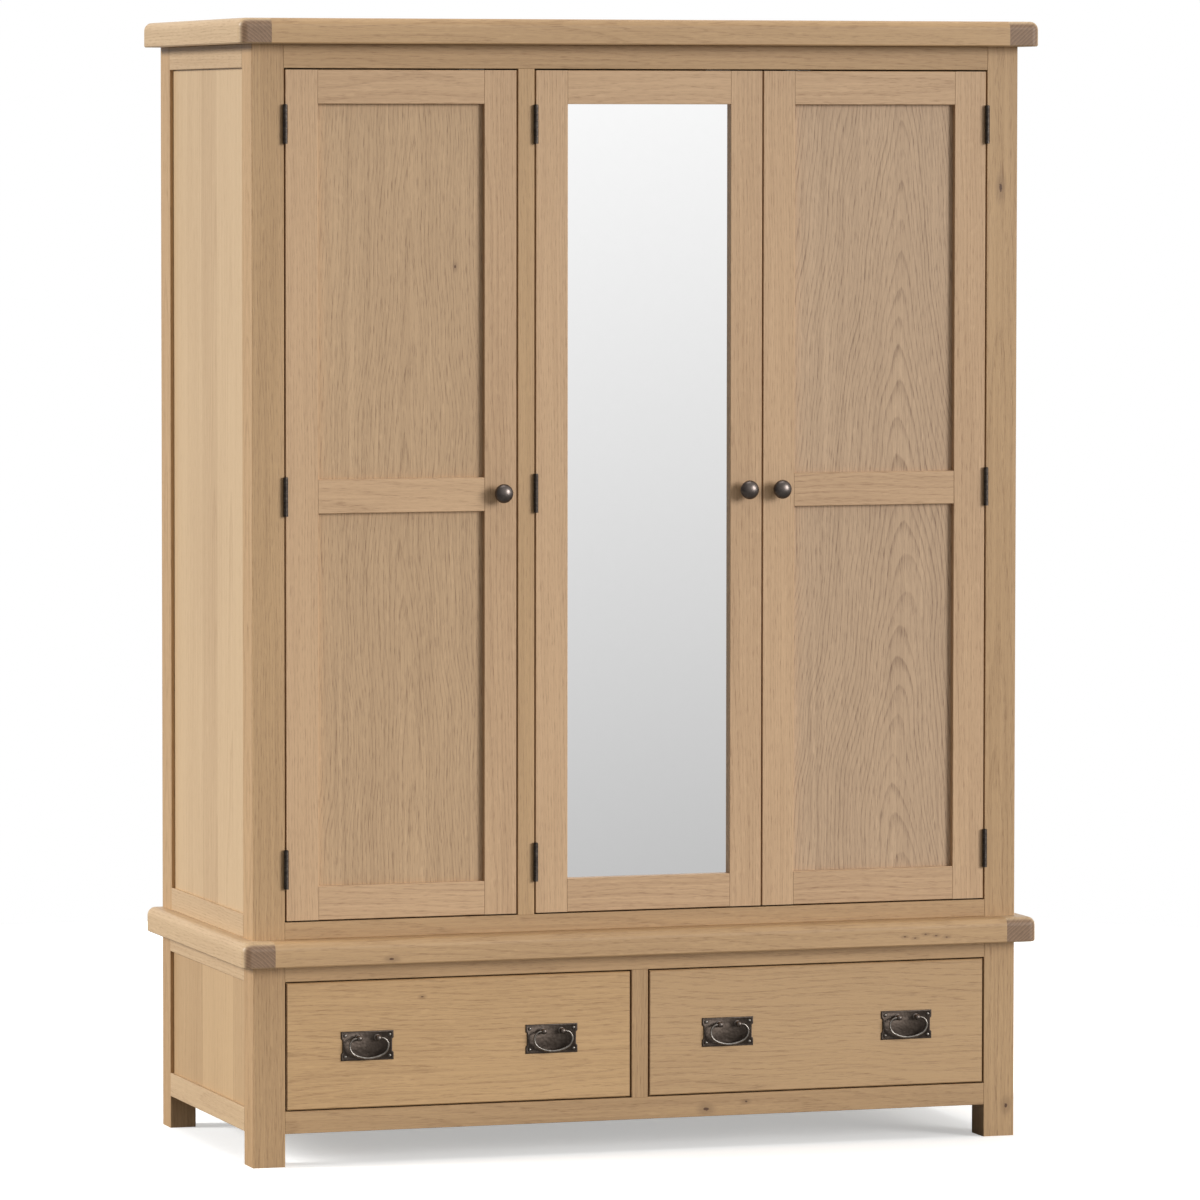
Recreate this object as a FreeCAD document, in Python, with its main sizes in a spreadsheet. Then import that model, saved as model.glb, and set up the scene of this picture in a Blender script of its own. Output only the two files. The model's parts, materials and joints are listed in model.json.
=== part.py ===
import FreeCAD, Part
import Sketcher
import os
import re

# A three-door wardrobe in two sections: a base with two drawers, and an upper
# carcass with two panelled doors and a mirror door.
# Millimetres.  +Z up, the front faces -Y, the origin is on the floor at the
# centre of the whole object's box.

SIZES = {
    # overall
    "overall_height": 1900, "carcass_width": 1350, "carcass_depth": 575, "base_height": 336,
    # thick edges of the base top and of the cornice, each a frame round a thinner panel
    "cap_thickness": 42, "cap_side_width": 55, "cap_front_depth": 100, "cap_panel": 18,
    "cap_round": 14, "cap_arris": 2,
    "cornice_side_overhang": 29, "cornice_front_overhang": 31,
    "base_side_overhang": 27, "base_front_overhang": 38,
    # posts, legs and rails
    "post_width": 55, "upper_post_depth": 60, "leg_depth": 55,
    "back_leg_width": 45, "back_leg_depth": 50, "back_stile_depth": 60,
    "side_frame_thickness": 30, "ground_clearance": 55,
    "base_bottom_rail": 37, "base_top_rail": 28,
    "base_side_bottom_rail": 40, "base_side_top_rail": 30,
    "upper_bottom_rail": 29, "upper_top_rail": 40,
    "upper_side_bottom_rail": 38, "upper_side_top_rail": 39,
    "mullion_width": 29, "divider_width": 29, "frame_arris": 0.8,
    # framed panels
    "side_panel": 8, "side_recess": 6.5, "groove_depth": 8, "groove_end_gap": 1,
    "back_panel": 6, "back_recess": 4, "back_rail": 18, "back_rail_height": 50,
    # boards inside
    "floor_board": 18, "partition": 18,
    # hanging rails
    "hanging_radius": 12.5, "hanging_drop": 78, "socket_flange": 3, "socket_flange_rim": 9,
    "socket_cup": 12, "socket_wall": 4.2, "socket_clearance": 0.3,
    # doors
    "door_thickness": 22, "door_back_clearance": 3, "door_stile": 56,
    "door_rail": 56, "door_mid_height": 1111.5, "door_recess": 10, "door_panel": 7,
    "mirror_glass": 4,
    # knobs
    "knob_height": 1113, "knob_radius": 16, "knob_half_length": 9.5, "knob_projection": 29,
    "knob_foot_radius": 9, "knob_neck_radius": 6,
    # butt hinges
    "hinge_length": 64, "hinge_top_inset": 90, "hinge_bottom_inset": 85, "leaf_thickness": 1.15,
    "leaf_clearance": 0.2, "leaf_setback": 0.5, "leaf_back_margin": 1.5, "knuckle_radius": 4,
    "knuckle_standoff": 0.1, "knuckle_end_gap": 0.3, "pin_radius": 1.65, "pin_clearance": 0.05,
    "pin_head_radius": 3.4, "pin_head": 1.2,
    # magnetic catches
    "catch_width": 44, "catch_depth": 14, "catch_drop": 24, "catch_inset": 70,
    # drawers
    "drawer_front": 20, "drawer_gap": 2.5, "drawer_side": 12, "drawer_headroom": 48,
    "drawer_rear_gap": 27, "drawer_side_clearance": 4, "drawer_lift": 8, "drawer_bottom": 6,
    "drawer_bottom_lift": 12, "drawer_groove": 6, "drawer_arris": 1.6,
    "runner_height": 20, "runner_ledge": 16, "runner_guide": 22, "runner_gap": 0.5,
    "guide_gap": 1,
    # bail handles
    "plate_width": 91, "plate_height": 49, "plate_thickness": 2, "plate_notch": 2.5,
    "plate_ear": 12, "handle_spacing": 322, "handle_drop": 2.5,
    "stud_spacing": 33, "stud_below_edge": 11, "stud_radius": 3.5, "stud_ball_radius": 5.2,
    "bail_standoff": 9, "bail_rod_radius": 2.1, "bail_bore_clearance": 0.05,
    "bail_pin_depth": 3, "bail_tuck": 0.7, "bail_drop": 33.5, "bail_shoulder": 12.5,
    "bail_cheek_ratio": 0.81,
}

FRONT = "(base_front_overhang - carcass_depth) / 2"
BACK = "(base_front_overhang + carcass_depth) / 2"
SIDE = "carcass_width / 2"
POST_INNER = "(carcass_width / 2 - post_width)"
FRAME_INNER = "(carcass_width / 2 - side_frame_thickness)"
UPPER_LOW = "(base_height + cap_thickness)"
UPPER_HIGH = "(overall_height - cap_thickness)"
OPENING_LOW = "(base_height + cap_thickness + upper_bottom_rail)"
OPENING_HIGH = "(overall_height - cap_thickness - upper_top_rail)"
DRAWER_LOW = "(ground_clearance + base_bottom_rail)"
DRAWER_HIGH = "(base_height - base_top_rail)"
DOOR_GAP = "(2 * leaf_thickness + leaf_clearance)"
DOOR_WIDTH = f"((carcass_width - 2 * post_width - mullion_width - 5 * {DOOR_GAP}) / 3)"
DOOR_HEIGHT = f"({OPENING_HIGH} - {OPENING_LOW} - 2 * {DOOR_GAP})"
DOOR_BOTTOM = f"({OPENING_LOW} + {DOOR_GAP})"
MULLION_LEFT = f"(-{POST_INNER} + {DOOR_WIDTH} + 2 * {DOOR_GAP})"
RAIL_THICKNESS = "(door_thickness + door_back_clearance)"
BACK_RAIL_FRONT = f"({BACK} - back_recess - back_panel - back_rail)"
BACK_PANEL_FRONT = f"({BACK} - back_recess - back_panel)"
UPPER_RAIL_BACK = f"({FRONT} + {RAIL_THICKNESS})"
DRAWER_WIDTH = f"({POST_INNER} - divider_width / 2 - 2 * drawer_gap)"
DRAWER_SIDE_HEIGHT = f"({DRAWER_HIGH} - {DRAWER_LOW} - drawer_lift - drawer_headroom)"
DRAWER_LENGTH = f"({BACK_RAIL_FRONT} - {FRONT} - drawer_front - drawer_rear_gap)"
PARTITION_LEFT = f"({MULLION_LEFT} + (mullion_width - partition) / 2)"
PIVOT_Y = f"({FRONT} - plate_thickness - bail_standoff)"
SOCKET_CUP_RADIUS = "(hanging_radius + socket_clearance + socket_wall)"
LEFT, RIGHT = -1, 1
TOUCH = 0.001
KNUCKLES = 5
SKETCH_CENTRE = FreeCAD.Vector(20, 20, 0)
SKETCH_RADIUS = FreeCAD.Vector(10, 0, 0)

doc = FreeCAD.newDocument("Wardrobe")
nodes = []


# ---------------------------------------------------------------- helpers

def write_sizes():
    sheet = doc.addObject("Spreadsheet::Sheet", "Sizes")
    for row, (alias, number) in enumerate(SIZES.items(), start=1):
        sheet.set(f"A{row}", alias)
        sheet.set(f"B{row}", str(number))
        sheet.setAlias(f"B{row}", alias)
    doc.recompute()


def formula(text):
    """Point every size named in a formula at its cell."""
    return re.sub(r"[a-z_]{3,}", lambda word: f"Sizes.{word.group()}" if word.group() in SIZES
                  else word.group(), str(text))


def bind(item, **properties):
    for name, text in properties.items():
        item.setExpression(name, formula(text))
    return item


def place(item, x, y, z, rotation=None):
    if rotation:
        item.Placement = FreeCAD.Placement(FreeCAD.Vector(), rotation)
    for axis, text in zip("xyz", (x, y, z)):
        item.setExpression(f"Placement.Base.{axis}", formula(text))
    return item


def turned(*steps):
    """A rotation made of steps, each an axis letter and an angle, the last one applied first."""
    axes = {"X": FreeCAD.Vector(1, 0, 0), "Y": FreeCAD.Vector(0, 1, 0), "Z": FreeCAD.Vector(0, 0, 1)}
    rotation = FreeCAD.Rotation()
    for axis, angle in steps:
        rotation = rotation.multiply(FreeCAD.Rotation(axes[axis], angle))
    return rotation


def outline_sketch(body, plane, outline):
    """A closed outline whose corners are each tied to their own two formulas."""
    sketch = body.newObject("Sketcher::SketchObject", body.Name + "Outline")
    origin_plane = [item for item in body.Origin.OriginFeatures if item.Role == plane + "_Plane"][0]
    sketch.AttachmentSupport = [(origin_plane, "")]
    sketch.MapMode = "FlatFace"
    count = len(outline)
    ring = [SKETCH_CENTRE + turned(("Z", 360 * index / count)).multVec(SKETCH_RADIUS)
            for index in range(count)]
    for index in range(count):
        sketch.addGeometry(Part.LineSegment(ring[index], ring[(index + 1) % count]), False)
    for index in range(count):
        sketch.addConstraint(Sketcher.Constraint("Coincident", index, 2, (index + 1) % count, 1))
    for index, corner in enumerate(outline):
        for kind, axis, text, start in (("DistanceX", -2, corner[0], ring[index].x),
                                        ("DistanceY", -1, corner[1], ring[index].y)):
            if text == "0":
                sketch.addConstraint(Sketcher.Constraint("PointOnObject", index, 1, axis))
            else:
                number = sketch.addConstraint(Sketcher.Constraint(kind, -1, 1, index, 1, start))
                sketch.setExpression(f"Constraints[{number}]", formula(text))
    return sketch


def rectangle(width, height):
    return [("0", "0"), (width, "0"), (width, height), ("0", height)]


def mirrored(outline, width):
    flipped = [(f"{width} - ({x})" if x != "0" else width, y) for x, y in outline]
    return [("0" if x == f"{width} - ({width})" else x, y) for x, y in flipped]


def grooved(width, height, near, size, on_far_x):
    """A rectangle with a groove in its far-x side, or in its far-y side."""
    if on_far_x:
        return [("0", "0"), (width, "0"), (width, near), (f"{width} - groove_depth", near),
                (f"{width} - groove_depth", f"{near} + {size}"), (width, f"{near} + {size}"),
                (width, height), ("0", height)]
    return [("0", "0"), (width, "0"), (width, height), (f"{near} + {size}", height),
            (f"{near} + {size}", f"{height} - groove_depth"), (near, f"{height} - groove_depth"),
            (near, height), ("0", height)]


def long_edges(shape, axis):
    """The edges along an axis at the outermost corners of the section."""
    box = shape.BoundBox
    limits = {"X": (box.XMin, box.XMax), "Y": (box.YMin, box.YMax), "Z": (box.ZMin, box.ZMax)}
    chosen = []
    for number, edge in enumerate(shape.Edges, start=1):
        reach = edge.BoundBox
        spans = {"X": (reach.XMin, reach.XMax), "Y": (reach.YMin, reach.YMax),
                 "Z": (reach.ZMin, reach.ZMax)}
        runs = abs(spans[axis][1] - spans[axis][0]) > TOUCH
        at_corner = all(min(abs(spans[other][0] - limit) for limit in limits[other]) < TOUCH
                        and abs(spans[other][1] - spans[other][0]) < TOUCH
                        for other in "XYZ" if other != axis)
        if runs and at_corner:
            chosen.append(f"Edge{number}")
    return chosen


def edges_where(shape, test):
    return [f"Edge{number}" for number, edge in enumerate(shape.Edges, start=1)
            if test(edge.BoundBox, shape.BoundBox)]


def dress(body, base, kind, edges, size):
    """Round or chamfer named edges of a body's last feature."""
    feature = body.newObject(f"PartDesign::{kind}", body.Name + kind)
    feature.Base = (base, edges)
    bind(feature, **{"Radius" if kind == "Fillet" else "Size": size})
    body.Tip = feature
    doc.recompute()
    return feature


def extrusion(name, plane, outline, length, at, arris=None):
    """A body whose outline is padded along the plane's own normal, away from its low corner."""
    body = doc.addObject("PartDesign::Body", name)
    sketch = outline_sketch(body, plane, outline)
    pad = body.newObject("PartDesign::Pad", name + "Pad")
    pad.Profile = sketch
    pad.Reversed = plane == "XZ"
    bind(pad, Length=length)
    doc.recompute()
    if arris:
        axis = {"XY": "Z", "XZ": "Y", "YZ": "X"}[plane]
        dress(body, pad, "Chamfer", long_edges(pad.Shape, axis), arris)
    return place(body, *at)


def board(name, size, at):
    box = doc.addObject("Part::Box", name)
    bind(box, Length=size[0], Width=size[1], Height=size[2])
    return place(box, *at)


def rod(name, radius, length, at, rotation=None):
    cylinder = doc.addObject("Part::Cylinder", name)
    bind(cylinder, Radius=radius, Height=length)
    return place(cylinder, *at, rotation)


def fused(name, pieces):
    joined = doc.addObject("Part::MultiFuse", name)
    joined.Shapes = pieces
    return joined


def cut(name, base, tools):
    result = doc.addObject("Part::Cut", name)
    result.Base = base
    result.Tool = tools[0] if len(tools) == 1 else fused(name + "Tools", tools)
    return result


def node(label, *pieces):
    """Keep one piece, or a group of like pieces, as a named sub-part."""
    if len(pieces) == 1:
        item = pieces[0]
    else:
        item = doc.addObject("Part::Compound", label + "_group")
        item.Links = list(pieces)
    item.Label = label
    nodes.append(item)
    return item


def x_from_centre(side, inner, width):
    """The low x of a piece whose inner face is this far from the centre line."""
    return f"{inner}" if side == RIGHT else f"-({inner}) - ({width})"


# ---------------------------------------------------------------- caps

def cap(prefix, low, side_overhang, front_overhang):
    """A thick rounded edge, as a front member between two side members, round a thin panel."""
    front = f"{FRONT} - {front_overhang}"
    inner = f"({SIDE} + {side_overhang} - cap_side_width)"
    depth = f"({BACK} - ({front}))"

    member = extrusion(prefix + "_front", "YZ", rectangle("cap_front_depth", "cap_thickness"),
                       f"2 * {inner}", (f"-{inner}", front, low))
    top_front = edges_where(member.Tip.Shape, lambda edge, box: edge.ZMin > box.ZMax - TOUCH
                            and edge.YMax < box.YMin + TOUCH)
    rounded = dress(member, member.Tip, "Fillet", top_front, "cap_round")
    low_front = edges_where(rounded.Shape, lambda edge, box: edge.ZMax < box.ZMin + TOUCH
                            and edge.YMax < box.YMin + TOUCH)
    dress(member, rounded, "Chamfer", low_front, "cap_arris")
    node(prefix + "_front", member)

    sides = []
    for side, word in ((LEFT, "left"), (RIGHT, "right")):
        sides.append(cap_side(f"{prefix}_{word}", side, x_from_centre(side, inner, "cap_side_width"),
                              front, low, depth))
    node(prefix + "_sides", *sides)

    panel_front = f"({front} + cap_front_depth)"
    node(prefix + "_panel", board(prefix + "_panel", (f"2 * {inner}", f"{BACK} - {panel_front}",
                                                      "cap_panel"), (f"-{inner}", panel_front, low)))


def cap_side(name, side, x, front, low, depth):
    """A side member: round along its top outer edge, its front end and the corner between."""
    body = extrusion(name, "XY", rectangle("cap_side_width", depth), "cap_thickness", (x, front, low))

    def outer(edge, box):
        return edge.XMin > box.XMax - TOUCH if side == RIGHT else edge.XMax < box.XMin + TOUCH

    def at_front(edge, box):
        return edge.YMax < box.YMin + TOUCH

    def round_over(edge, box):
        on_top = edge.ZMin > box.ZMax - TOUCH
        return on_top and (outer(edge, box) or at_front(edge, box)) or (
            outer(edge, box) and at_front(edge, box))

    rounded = dress(body, body.Tip, "Fillet", edges_where(body.Tip.Shape, round_over), "cap_round")
    under = edges_where(rounded.Shape, lambda edge, box: edge.ZMax < box.ZMin + TOUCH
                        and (outer(edge, box) or at_front(edge, box)))
    dress(body, rounded, "Chamfer", under, "cap_arris")
    return body


# ---------------------------------------------------------------- base section

def base_legs():
    front, back = [], []
    for side, word in ((LEFT, "left"), (RIGHT, "right")):
        for legs, place_word, width, depth, y in (
                (front, "front", "post_width", "leg_depth", FRONT),
                (back, "back", "back_leg_width", "back_leg_depth", f"{BACK} - back_leg_depth")):
            name = f"leg_{place_word}_{word}"
            x = x_from_centre(side, f"{SIDE} - {width}", width)
            solid = extrusion(name + "_blank", "XY", rectangle(width, depth), "base_height",
                              (x, y, "0"), "frame_arris")
            groove_x = x_from_centre(side, f"{SIDE} - side_recess - side_panel", "side_panel")
            groove_y = f"{FRONT} + leg_depth - groove_depth" if legs is front else y
            tool = board(name + "_groove", ("side_panel", "groove_depth", "base_height"),
                         (groove_x, groove_y, "ground_clearance"))
            legs.append(cut(name, solid, [tool]))
    node("base_front_legs", *front)
    node("base_back_legs", *back)


def front_frame_member(name, width, height, x, z):
    return extrusion(name, "YZ", rectangle(RAIL_THICKNESS, height), width,
                     (x, FRONT, z), "frame_arris")


def base_front():
    span = f"2 * {POST_INNER}"
    node("base_bottom_rail", front_frame_member("base_bottom_rail", span, "base_bottom_rail",
                                                f"-{POST_INNER}", "ground_clearance"))
    node("base_top_rail", front_frame_member("base_top_rail", span, "base_top_rail",
                                             f"-{POST_INNER}", DRAWER_HIGH))
    node("base_divider", extrusion("base_divider", "XY", rectangle("divider_width", RAIL_THICKNESS),
                                   f"{DRAWER_HIGH} - {DRAWER_LOW}",
                                   ("-divider_width / 2", FRONT, DRAWER_LOW), "frame_arris"))


def side_rail(name, side, height, y_low, y_high, z, groove_on_top):
    """A rail of a side frame, with its groove towards the panel."""
    near = "side_recess" if side == LEFT else "side_frame_thickness - side_recess - side_panel"
    outline = grooved("side_frame_thickness", height, f"({near})", "side_panel", False)
    if not groove_on_top:
        outline = [(x, "0" if y == height else height if y == "0" else "groove_depth")
                   for x, y in outline]
    x = x_from_centre(side, FRAME_INNER, "side_frame_thickness")
    return extrusion(name, "XZ", outline, f"{y_high} - ({y_low})", (x, y_low, z), "frame_arris")


def side_frames(prefix, low, high, bottom, top, y_low, y_high):
    """The rails and the panel between a front post and a back stile, on both sides."""
    rails, panels = [], []
    grip = "(groove_depth - groove_end_gap)"
    for side, word in ((LEFT, "left"), (RIGHT, "right")):
        rails.append(side_rail(f"{prefix}_side_bottom_{word}", side, bottom, y_low, y_high, low, True))
        rails.append(side_rail(f"{prefix}_side_top_{word}", side, top, y_low, y_high,
                               f"{high} - {top}", False))
        x = x_from_centre(side, f"{SIDE} - side_recess - side_panel", "side_panel")
        panels.append(board(f"{prefix}_side_panel_{word}",
                            ("side_panel", f"{y_high} - ({y_low}) + 2 * {grip}",
                             f"{high} - {top} - {low} - {bottom} + 2 * {grip}"),
                            (x, f"{y_low} - {grip}", f"{low} + {bottom} - {grip}")))
    node(prefix + "_side_rails", *rails)
    node(prefix + "_side_panels", *panels)


def backs():
    """Rails across the back of both sections, and the panels fixed over them."""
    rails = []
    for prefix, inner, low, high in (
            ("base", f"({SIDE} - back_leg_width)", "ground_clearance", "base_height"),
            ("upper", FRAME_INNER, UPPER_LOW, UPPER_HIGH)):
        for word, z in (("bottom", low), ("top", f"{high} - back_rail_height")):
            rails.append(board(f"{prefix}_back_{word}_rail",
                               (f"2 * {inner}", "back_rail", "back_rail_height"),
                               (f"-{inner}", BACK_RAIL_FRONT, z)))
        node(prefix + "_back_panel", board(prefix + "_back_panel",
                                           (f"2 * {inner}", "back_panel", f"{high} - {low}"),
                                           (f"-{inner}", BACK_PANEL_FRONT, low)))
    node("back_rails", *rails)


def base_inside():
    y = UPPER_RAIL_BACK
    node("base_partition", board("base_partition", ("partition", f"{BACK_RAIL_FRONT} - {y}",
                                                    "base_height - ground_clearance"),
                                 ("-partition / 2", y, "ground_clearance")))
    runners = []
    low = f"({DRAWER_LOW} + drawer_lift - runner_gap - runner_height)"
    for side, word in ((LEFT, "left"), (RIGHT, "right")):
        inner_face = "divider_width / 2 + drawer_side_clearance"
        outer_face = f"({POST_INNER} - drawer_side_clearance)"
        spans = (("inner", "partition / 2", f"{inner_face} + runner_ledge",
                  f"{inner_face} - guide_gap", True),
                 ("outer", f"{outer_face} - runner_ledge", FRAME_INNER,
                  f"{outer_face} + guide_gap", False))
        for place_word, near, far, guide, guide_first in spans:
            width = f"({far} - ({near}))"
            wall = f"({guide} - ({near}))"
            outline = [("0", "0"), (width, "0"), (width, "runner_height"), (wall, "runner_height"),
                       (wall, "runner_height + runner_guide"), ("0", "runner_height + runner_guide")]
            if not guide_first:
                outline = [("0", "0"), (width, "0"), (width, "runner_height + runner_guide"),
                           (wall, "runner_height + runner_guide"), (wall, "runner_height"),
                           ("0", "runner_height")]
            if side == LEFT:
                outline = mirrored(outline, width)
            y_low = f"({FRONT} + leg_depth)"
            runners.append(extrusion(f"runner_{place_word}_{word}", "XZ", outline,
                                     f"{BACK} - back_leg_depth - {y_low}",
                                     (x_from_centre(side, near, width), y_low, low)))
    node("drawer_runners", *runners)


# ---------------------------------------------------------------- upper carcass

def upper_posts():
    posts, stiles = [], []
    height = f"{UPPER_HIGH} - {UPPER_LOW}"
    for side, word in ((LEFT, "left"), (RIGHT, "right")):
        near = "side_recess"
        post = grooved("post_width", "upper_post_depth", near, "side_panel", False)
        stile = [("0", "0"), (near, "0"), (near, "groove_depth"),
                 (f"{near} + side_panel", "groove_depth"), (f"{near} + side_panel", "0"),
                 ("side_frame_thickness", "0"), ("side_frame_thickness", "back_stile_depth"),
                 ("0", "back_stile_depth")]
        if side == RIGHT:
            post = mirrored(post, "post_width")
            stile = mirrored(stile, "side_frame_thickness")
        posts.append(extrusion(f"upper_post_{word}", "XY", post, height,
                               (x_from_centre(side, POST_INNER, "post_width"), FRONT, UPPER_LOW),
                               "frame_arris"))
        stiles.append(extrusion(f"upper_stile_{word}", "XY", stile, height,
                                (x_from_centre(side, FRAME_INNER, "side_frame_thickness"),
                                 f"{BACK} - back_stile_depth", UPPER_LOW), "frame_arris"))
    node("upper_front_posts", *posts)
    node("upper_back_stiles", *stiles)


def upper_front():
    span = f"2 * {POST_INNER}"
    node("upper_bottom_rail", front_frame_member("upper_bottom_rail", span, "upper_bottom_rail",
                                                 f"-{POST_INNER}", UPPER_LOW))
    node("upper_top_rail", front_frame_member("upper_top_rail", span, "upper_top_rail",
                                              f"-{POST_INNER}", OPENING_HIGH))
    node("upper_mullion", extrusion("upper_mullion", "XY", rectangle("mullion_width", RAIL_THICKNESS),
                                    f"{OPENING_HIGH} - {OPENING_LOW}",
                                    (MULLION_LEFT, FRONT, OPENING_LOW), "frame_arris"))


def upper_inside():
    """The floor, notched round the front posts, and the partition behind the mullion."""
    y = UPPER_RAIL_BACK
    notch = f"({FRONT} + upper_post_depth - {y})"
    wing = "(post_width - side_frame_thickness)"
    floor = [(wing, "0"), (f"2 * {FRAME_INNER} - {wing}", "0"), (f"2 * {FRAME_INNER} - {wing}", notch),
             (f"2 * {FRAME_INNER}", notch), (f"2 * {FRAME_INNER}", f"{BACK_RAIL_FRONT} - {y}"),
             ("0", f"{BACK_RAIL_FRONT} - {y}"), ("0", notch), (wing, notch)]
    node("upper_floor", extrusion("upper_floor", "XY", floor, "floor_board",
                                  (f"-{FRAME_INNER}", y, f"{OPENING_LOW} - floor_board")))
    node("upper_partition", board("upper_partition", ("partition", f"{BACK_RAIL_FRONT} - {y}",
                                                      f"{UPPER_HIGH} - {OPENING_LOW}"),
                                  (PARTITION_LEFT, y, OPENING_LOW)))


def hanging_rails():
    """A rail across each compartment, held in a flanged socket at each end."""
    along_x = turned(("Y", 90))
    side_face = f"({SIDE} - side_recess - side_panel)"
    rails, sockets = [], []
    centre_y = f"({FRONT} + {BACK}) / 2"
    height = f"({UPPER_HIGH} - hanging_drop)"
    for word, low, high in (("left", f"-{side_face}", PARTITION_LEFT),
                            ("right", f"({PARTITION_LEFT} + partition)", side_face)):
        rails.append(rod(f"hanging_rail_{word}", "hanging_radius", f"{high} - ({low}) - 2 * socket_flange",
                         (f"{low} + socket_flange", centre_y, height), along_x))
        for end, face, cup in (("low", low, f"{low} + socket_flange"),
                               ("high", f"{high} - socket_flange",
                                f"{high} - socket_flange - socket_cup")):
            name = f"socket_{word}_{end}"
            flange = rod(name + "_flange", f"{SOCKET_CUP_RADIUS} + socket_flange_rim", "socket_flange",
                         (face, centre_y, height), along_x)
            ring = rod(name + "_ring", SOCKET_CUP_RADIUS, "socket_cup",
                       (cup, centre_y, height), along_x)
            bore = rod(name + "_bore", "hanging_radius + socket_clearance", "socket_cup",
                       (cup, centre_y, height), along_x)
            sockets.append(cut(name, fused(name + "_solid", [flange, ring]), [bore]))
    node("hanging_rails", *rails)
    node("rail_sockets", *sockets)


# ---------------------------------------------------------------- doors

def door_left_edge(index):
    """The low x of door 0, 1 or 2, counted from the left."""
    if index == 0:
        return f"(-{POST_INNER} + {DOOR_GAP})"
    return (f"({MULLION_LEFT} + mullion_width + {DOOR_GAP} + {index - 1} * "
            f"({DOOR_WIDTH} + {DOOR_GAP}))")


def door_frame(name, x, with_mid_rail):
    """Two stiles with rails between, all grooved for what they hold."""
    stile = grooved("door_stile", "door_thickness", "door_recess", "door_panel", True)
    left = extrusion(f"{name}_stile_left", "XY", stile, DOOR_HEIGHT, (x, FRONT, DOOR_BOTTOM),
                     "frame_arris")
    right = extrusion(f"{name}_stile_right", "XY", mirrored(stile, "door_stile"), DOOR_HEIGHT,
                      (f"{x} + {DOOR_WIDTH} - door_stile", FRONT, DOOR_BOTTOM), "frame_arris")
    node(name + "_stiles", left, right)

    depth, near, far = "door_thickness", "door_recess", "door_recess + door_panel"
    upward = [("0", "0"), (depth, "0"), (depth, "door_rail"), (far, "door_rail"),
              (far, "door_rail - groove_depth"), (near, "door_rail - groove_depth"),
              (near, "door_rail"), ("0", "door_rail")]
    downward = [("0", "0"), (near, "0"), (near, "groove_depth"), (far, "groove_depth"), (far, "0"),
                (depth, "0"), (depth, "door_rail"), ("0", "door_rail")]
    both = downward[:6] + upward[2:]
    span = f"{DOOR_WIDTH} - 2 * door_stile"
    rails = []
    places = [("bottom", upward, DOOR_BOTTOM),
              ("top", downward, f"{DOOR_BOTTOM} + {DOOR_HEIGHT} - door_rail")]
    if with_mid_rail:
        places.append(("middle", both, "door_mid_height - door_rail / 2"))
    for word, outline, z in places:
        rails.append(extrusion(f"{name}_rail_{word}", "YZ", outline, span,
                               (f"{x} + door_stile", FRONT, z), "frame_arris"))
    node(name + "_rails", *rails)


def door_infill(name, x, y, thickness, z_low, z_high):
    """A sheet held in the grooves, between two rail edges."""
    grip = "(groove_depth - groove_end_gap)"
    return board(name, (f"{DOOR_WIDTH} - 2 * door_stile + 2 * {grip}", thickness,
                        f"{z_high} - ({z_low}) + 2 * {grip}"),
                 (f"{x} + door_stile - {grip}", y, f"{z_low} - {grip}"))


def knob(name, x):
    """A domed knob on a tapered neck."""
    outward = turned(("X", 90))
    centre = "(knob_projection - knob_half_length)"
    neck = doc.addObject("Part::Cone", name + "_neck")
    bind(neck, Radius1="knob_foot_radius", Radius2="knob_neck_radius", Height=centre)
    place(neck, x, FRONT, "knob_height", outward)
    head = doc.addObject("Part::Ellipsoid", name + "_head")
    bind(head, Radius1="knob_half_length", Radius2="knob_radius", Radius3="knob_radius")
    place(head, x, f"{FRONT} - {centre}", "knob_height", outward)
    node(name + "_knob", fused(name + "_knob", [neck, head]))


def hinge_heights():
    return [("bottom", f"({DOOR_BOTTOM} + hinge_bottom_inset - hinge_length / 2)"),
            ("middle", "(door_mid_height - hinge_length / 2)"),
            ("top", f"({DOOR_BOTTOM} + {DOOR_HEIGHT} - hinge_top_inset - hinge_length / 2)")]


def hinge_leaf(name, x_axis, toward, z, knuckles):
    """A leaf lying in the door gap, with its share of the knuckles round the pin."""
    y_axis = f"({FRONT} - knuckle_radius - knuckle_standoff)"
    split = "(leaf_clearance / 2)"
    x = f"({x_axis} + {split})" if toward > 0 else f"({x_axis} - {split} - leaf_thickness)"
    leaf_width = "door_thickness - leaf_setback - leaf_back_margin"
    solids = [board(name + "_plate", ("leaf_thickness", leaf_width, "hinge_length"),
                    (x, f"{FRONT} + leaf_setback", z))]
    piece = f"(hinge_length / {KNUCKLES})"
    for index in knuckles:
        low = f"({z} + {index} * {piece} + knuckle_end_gap / 2)"
        length = f"({piece} - knuckle_end_gap)"
        solids.append(rod(f"{name}_knuckle_{index}", "knuckle_radius", length, (x_axis, y_axis, low)))
        solids.append(board(f"{name}_tongue_{index}",
                            ("leaf_thickness", "knuckle_radius + knuckle_standoff + leaf_setback",
                             length), (x, y_axis, low)))
    bore = rod(name + "_bore", "pin_radius + pin_clearance", "hinge_length", (x_axis, y_axis, z))
    return cut(name, fused(name + "_solid", solids), [bore])


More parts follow.
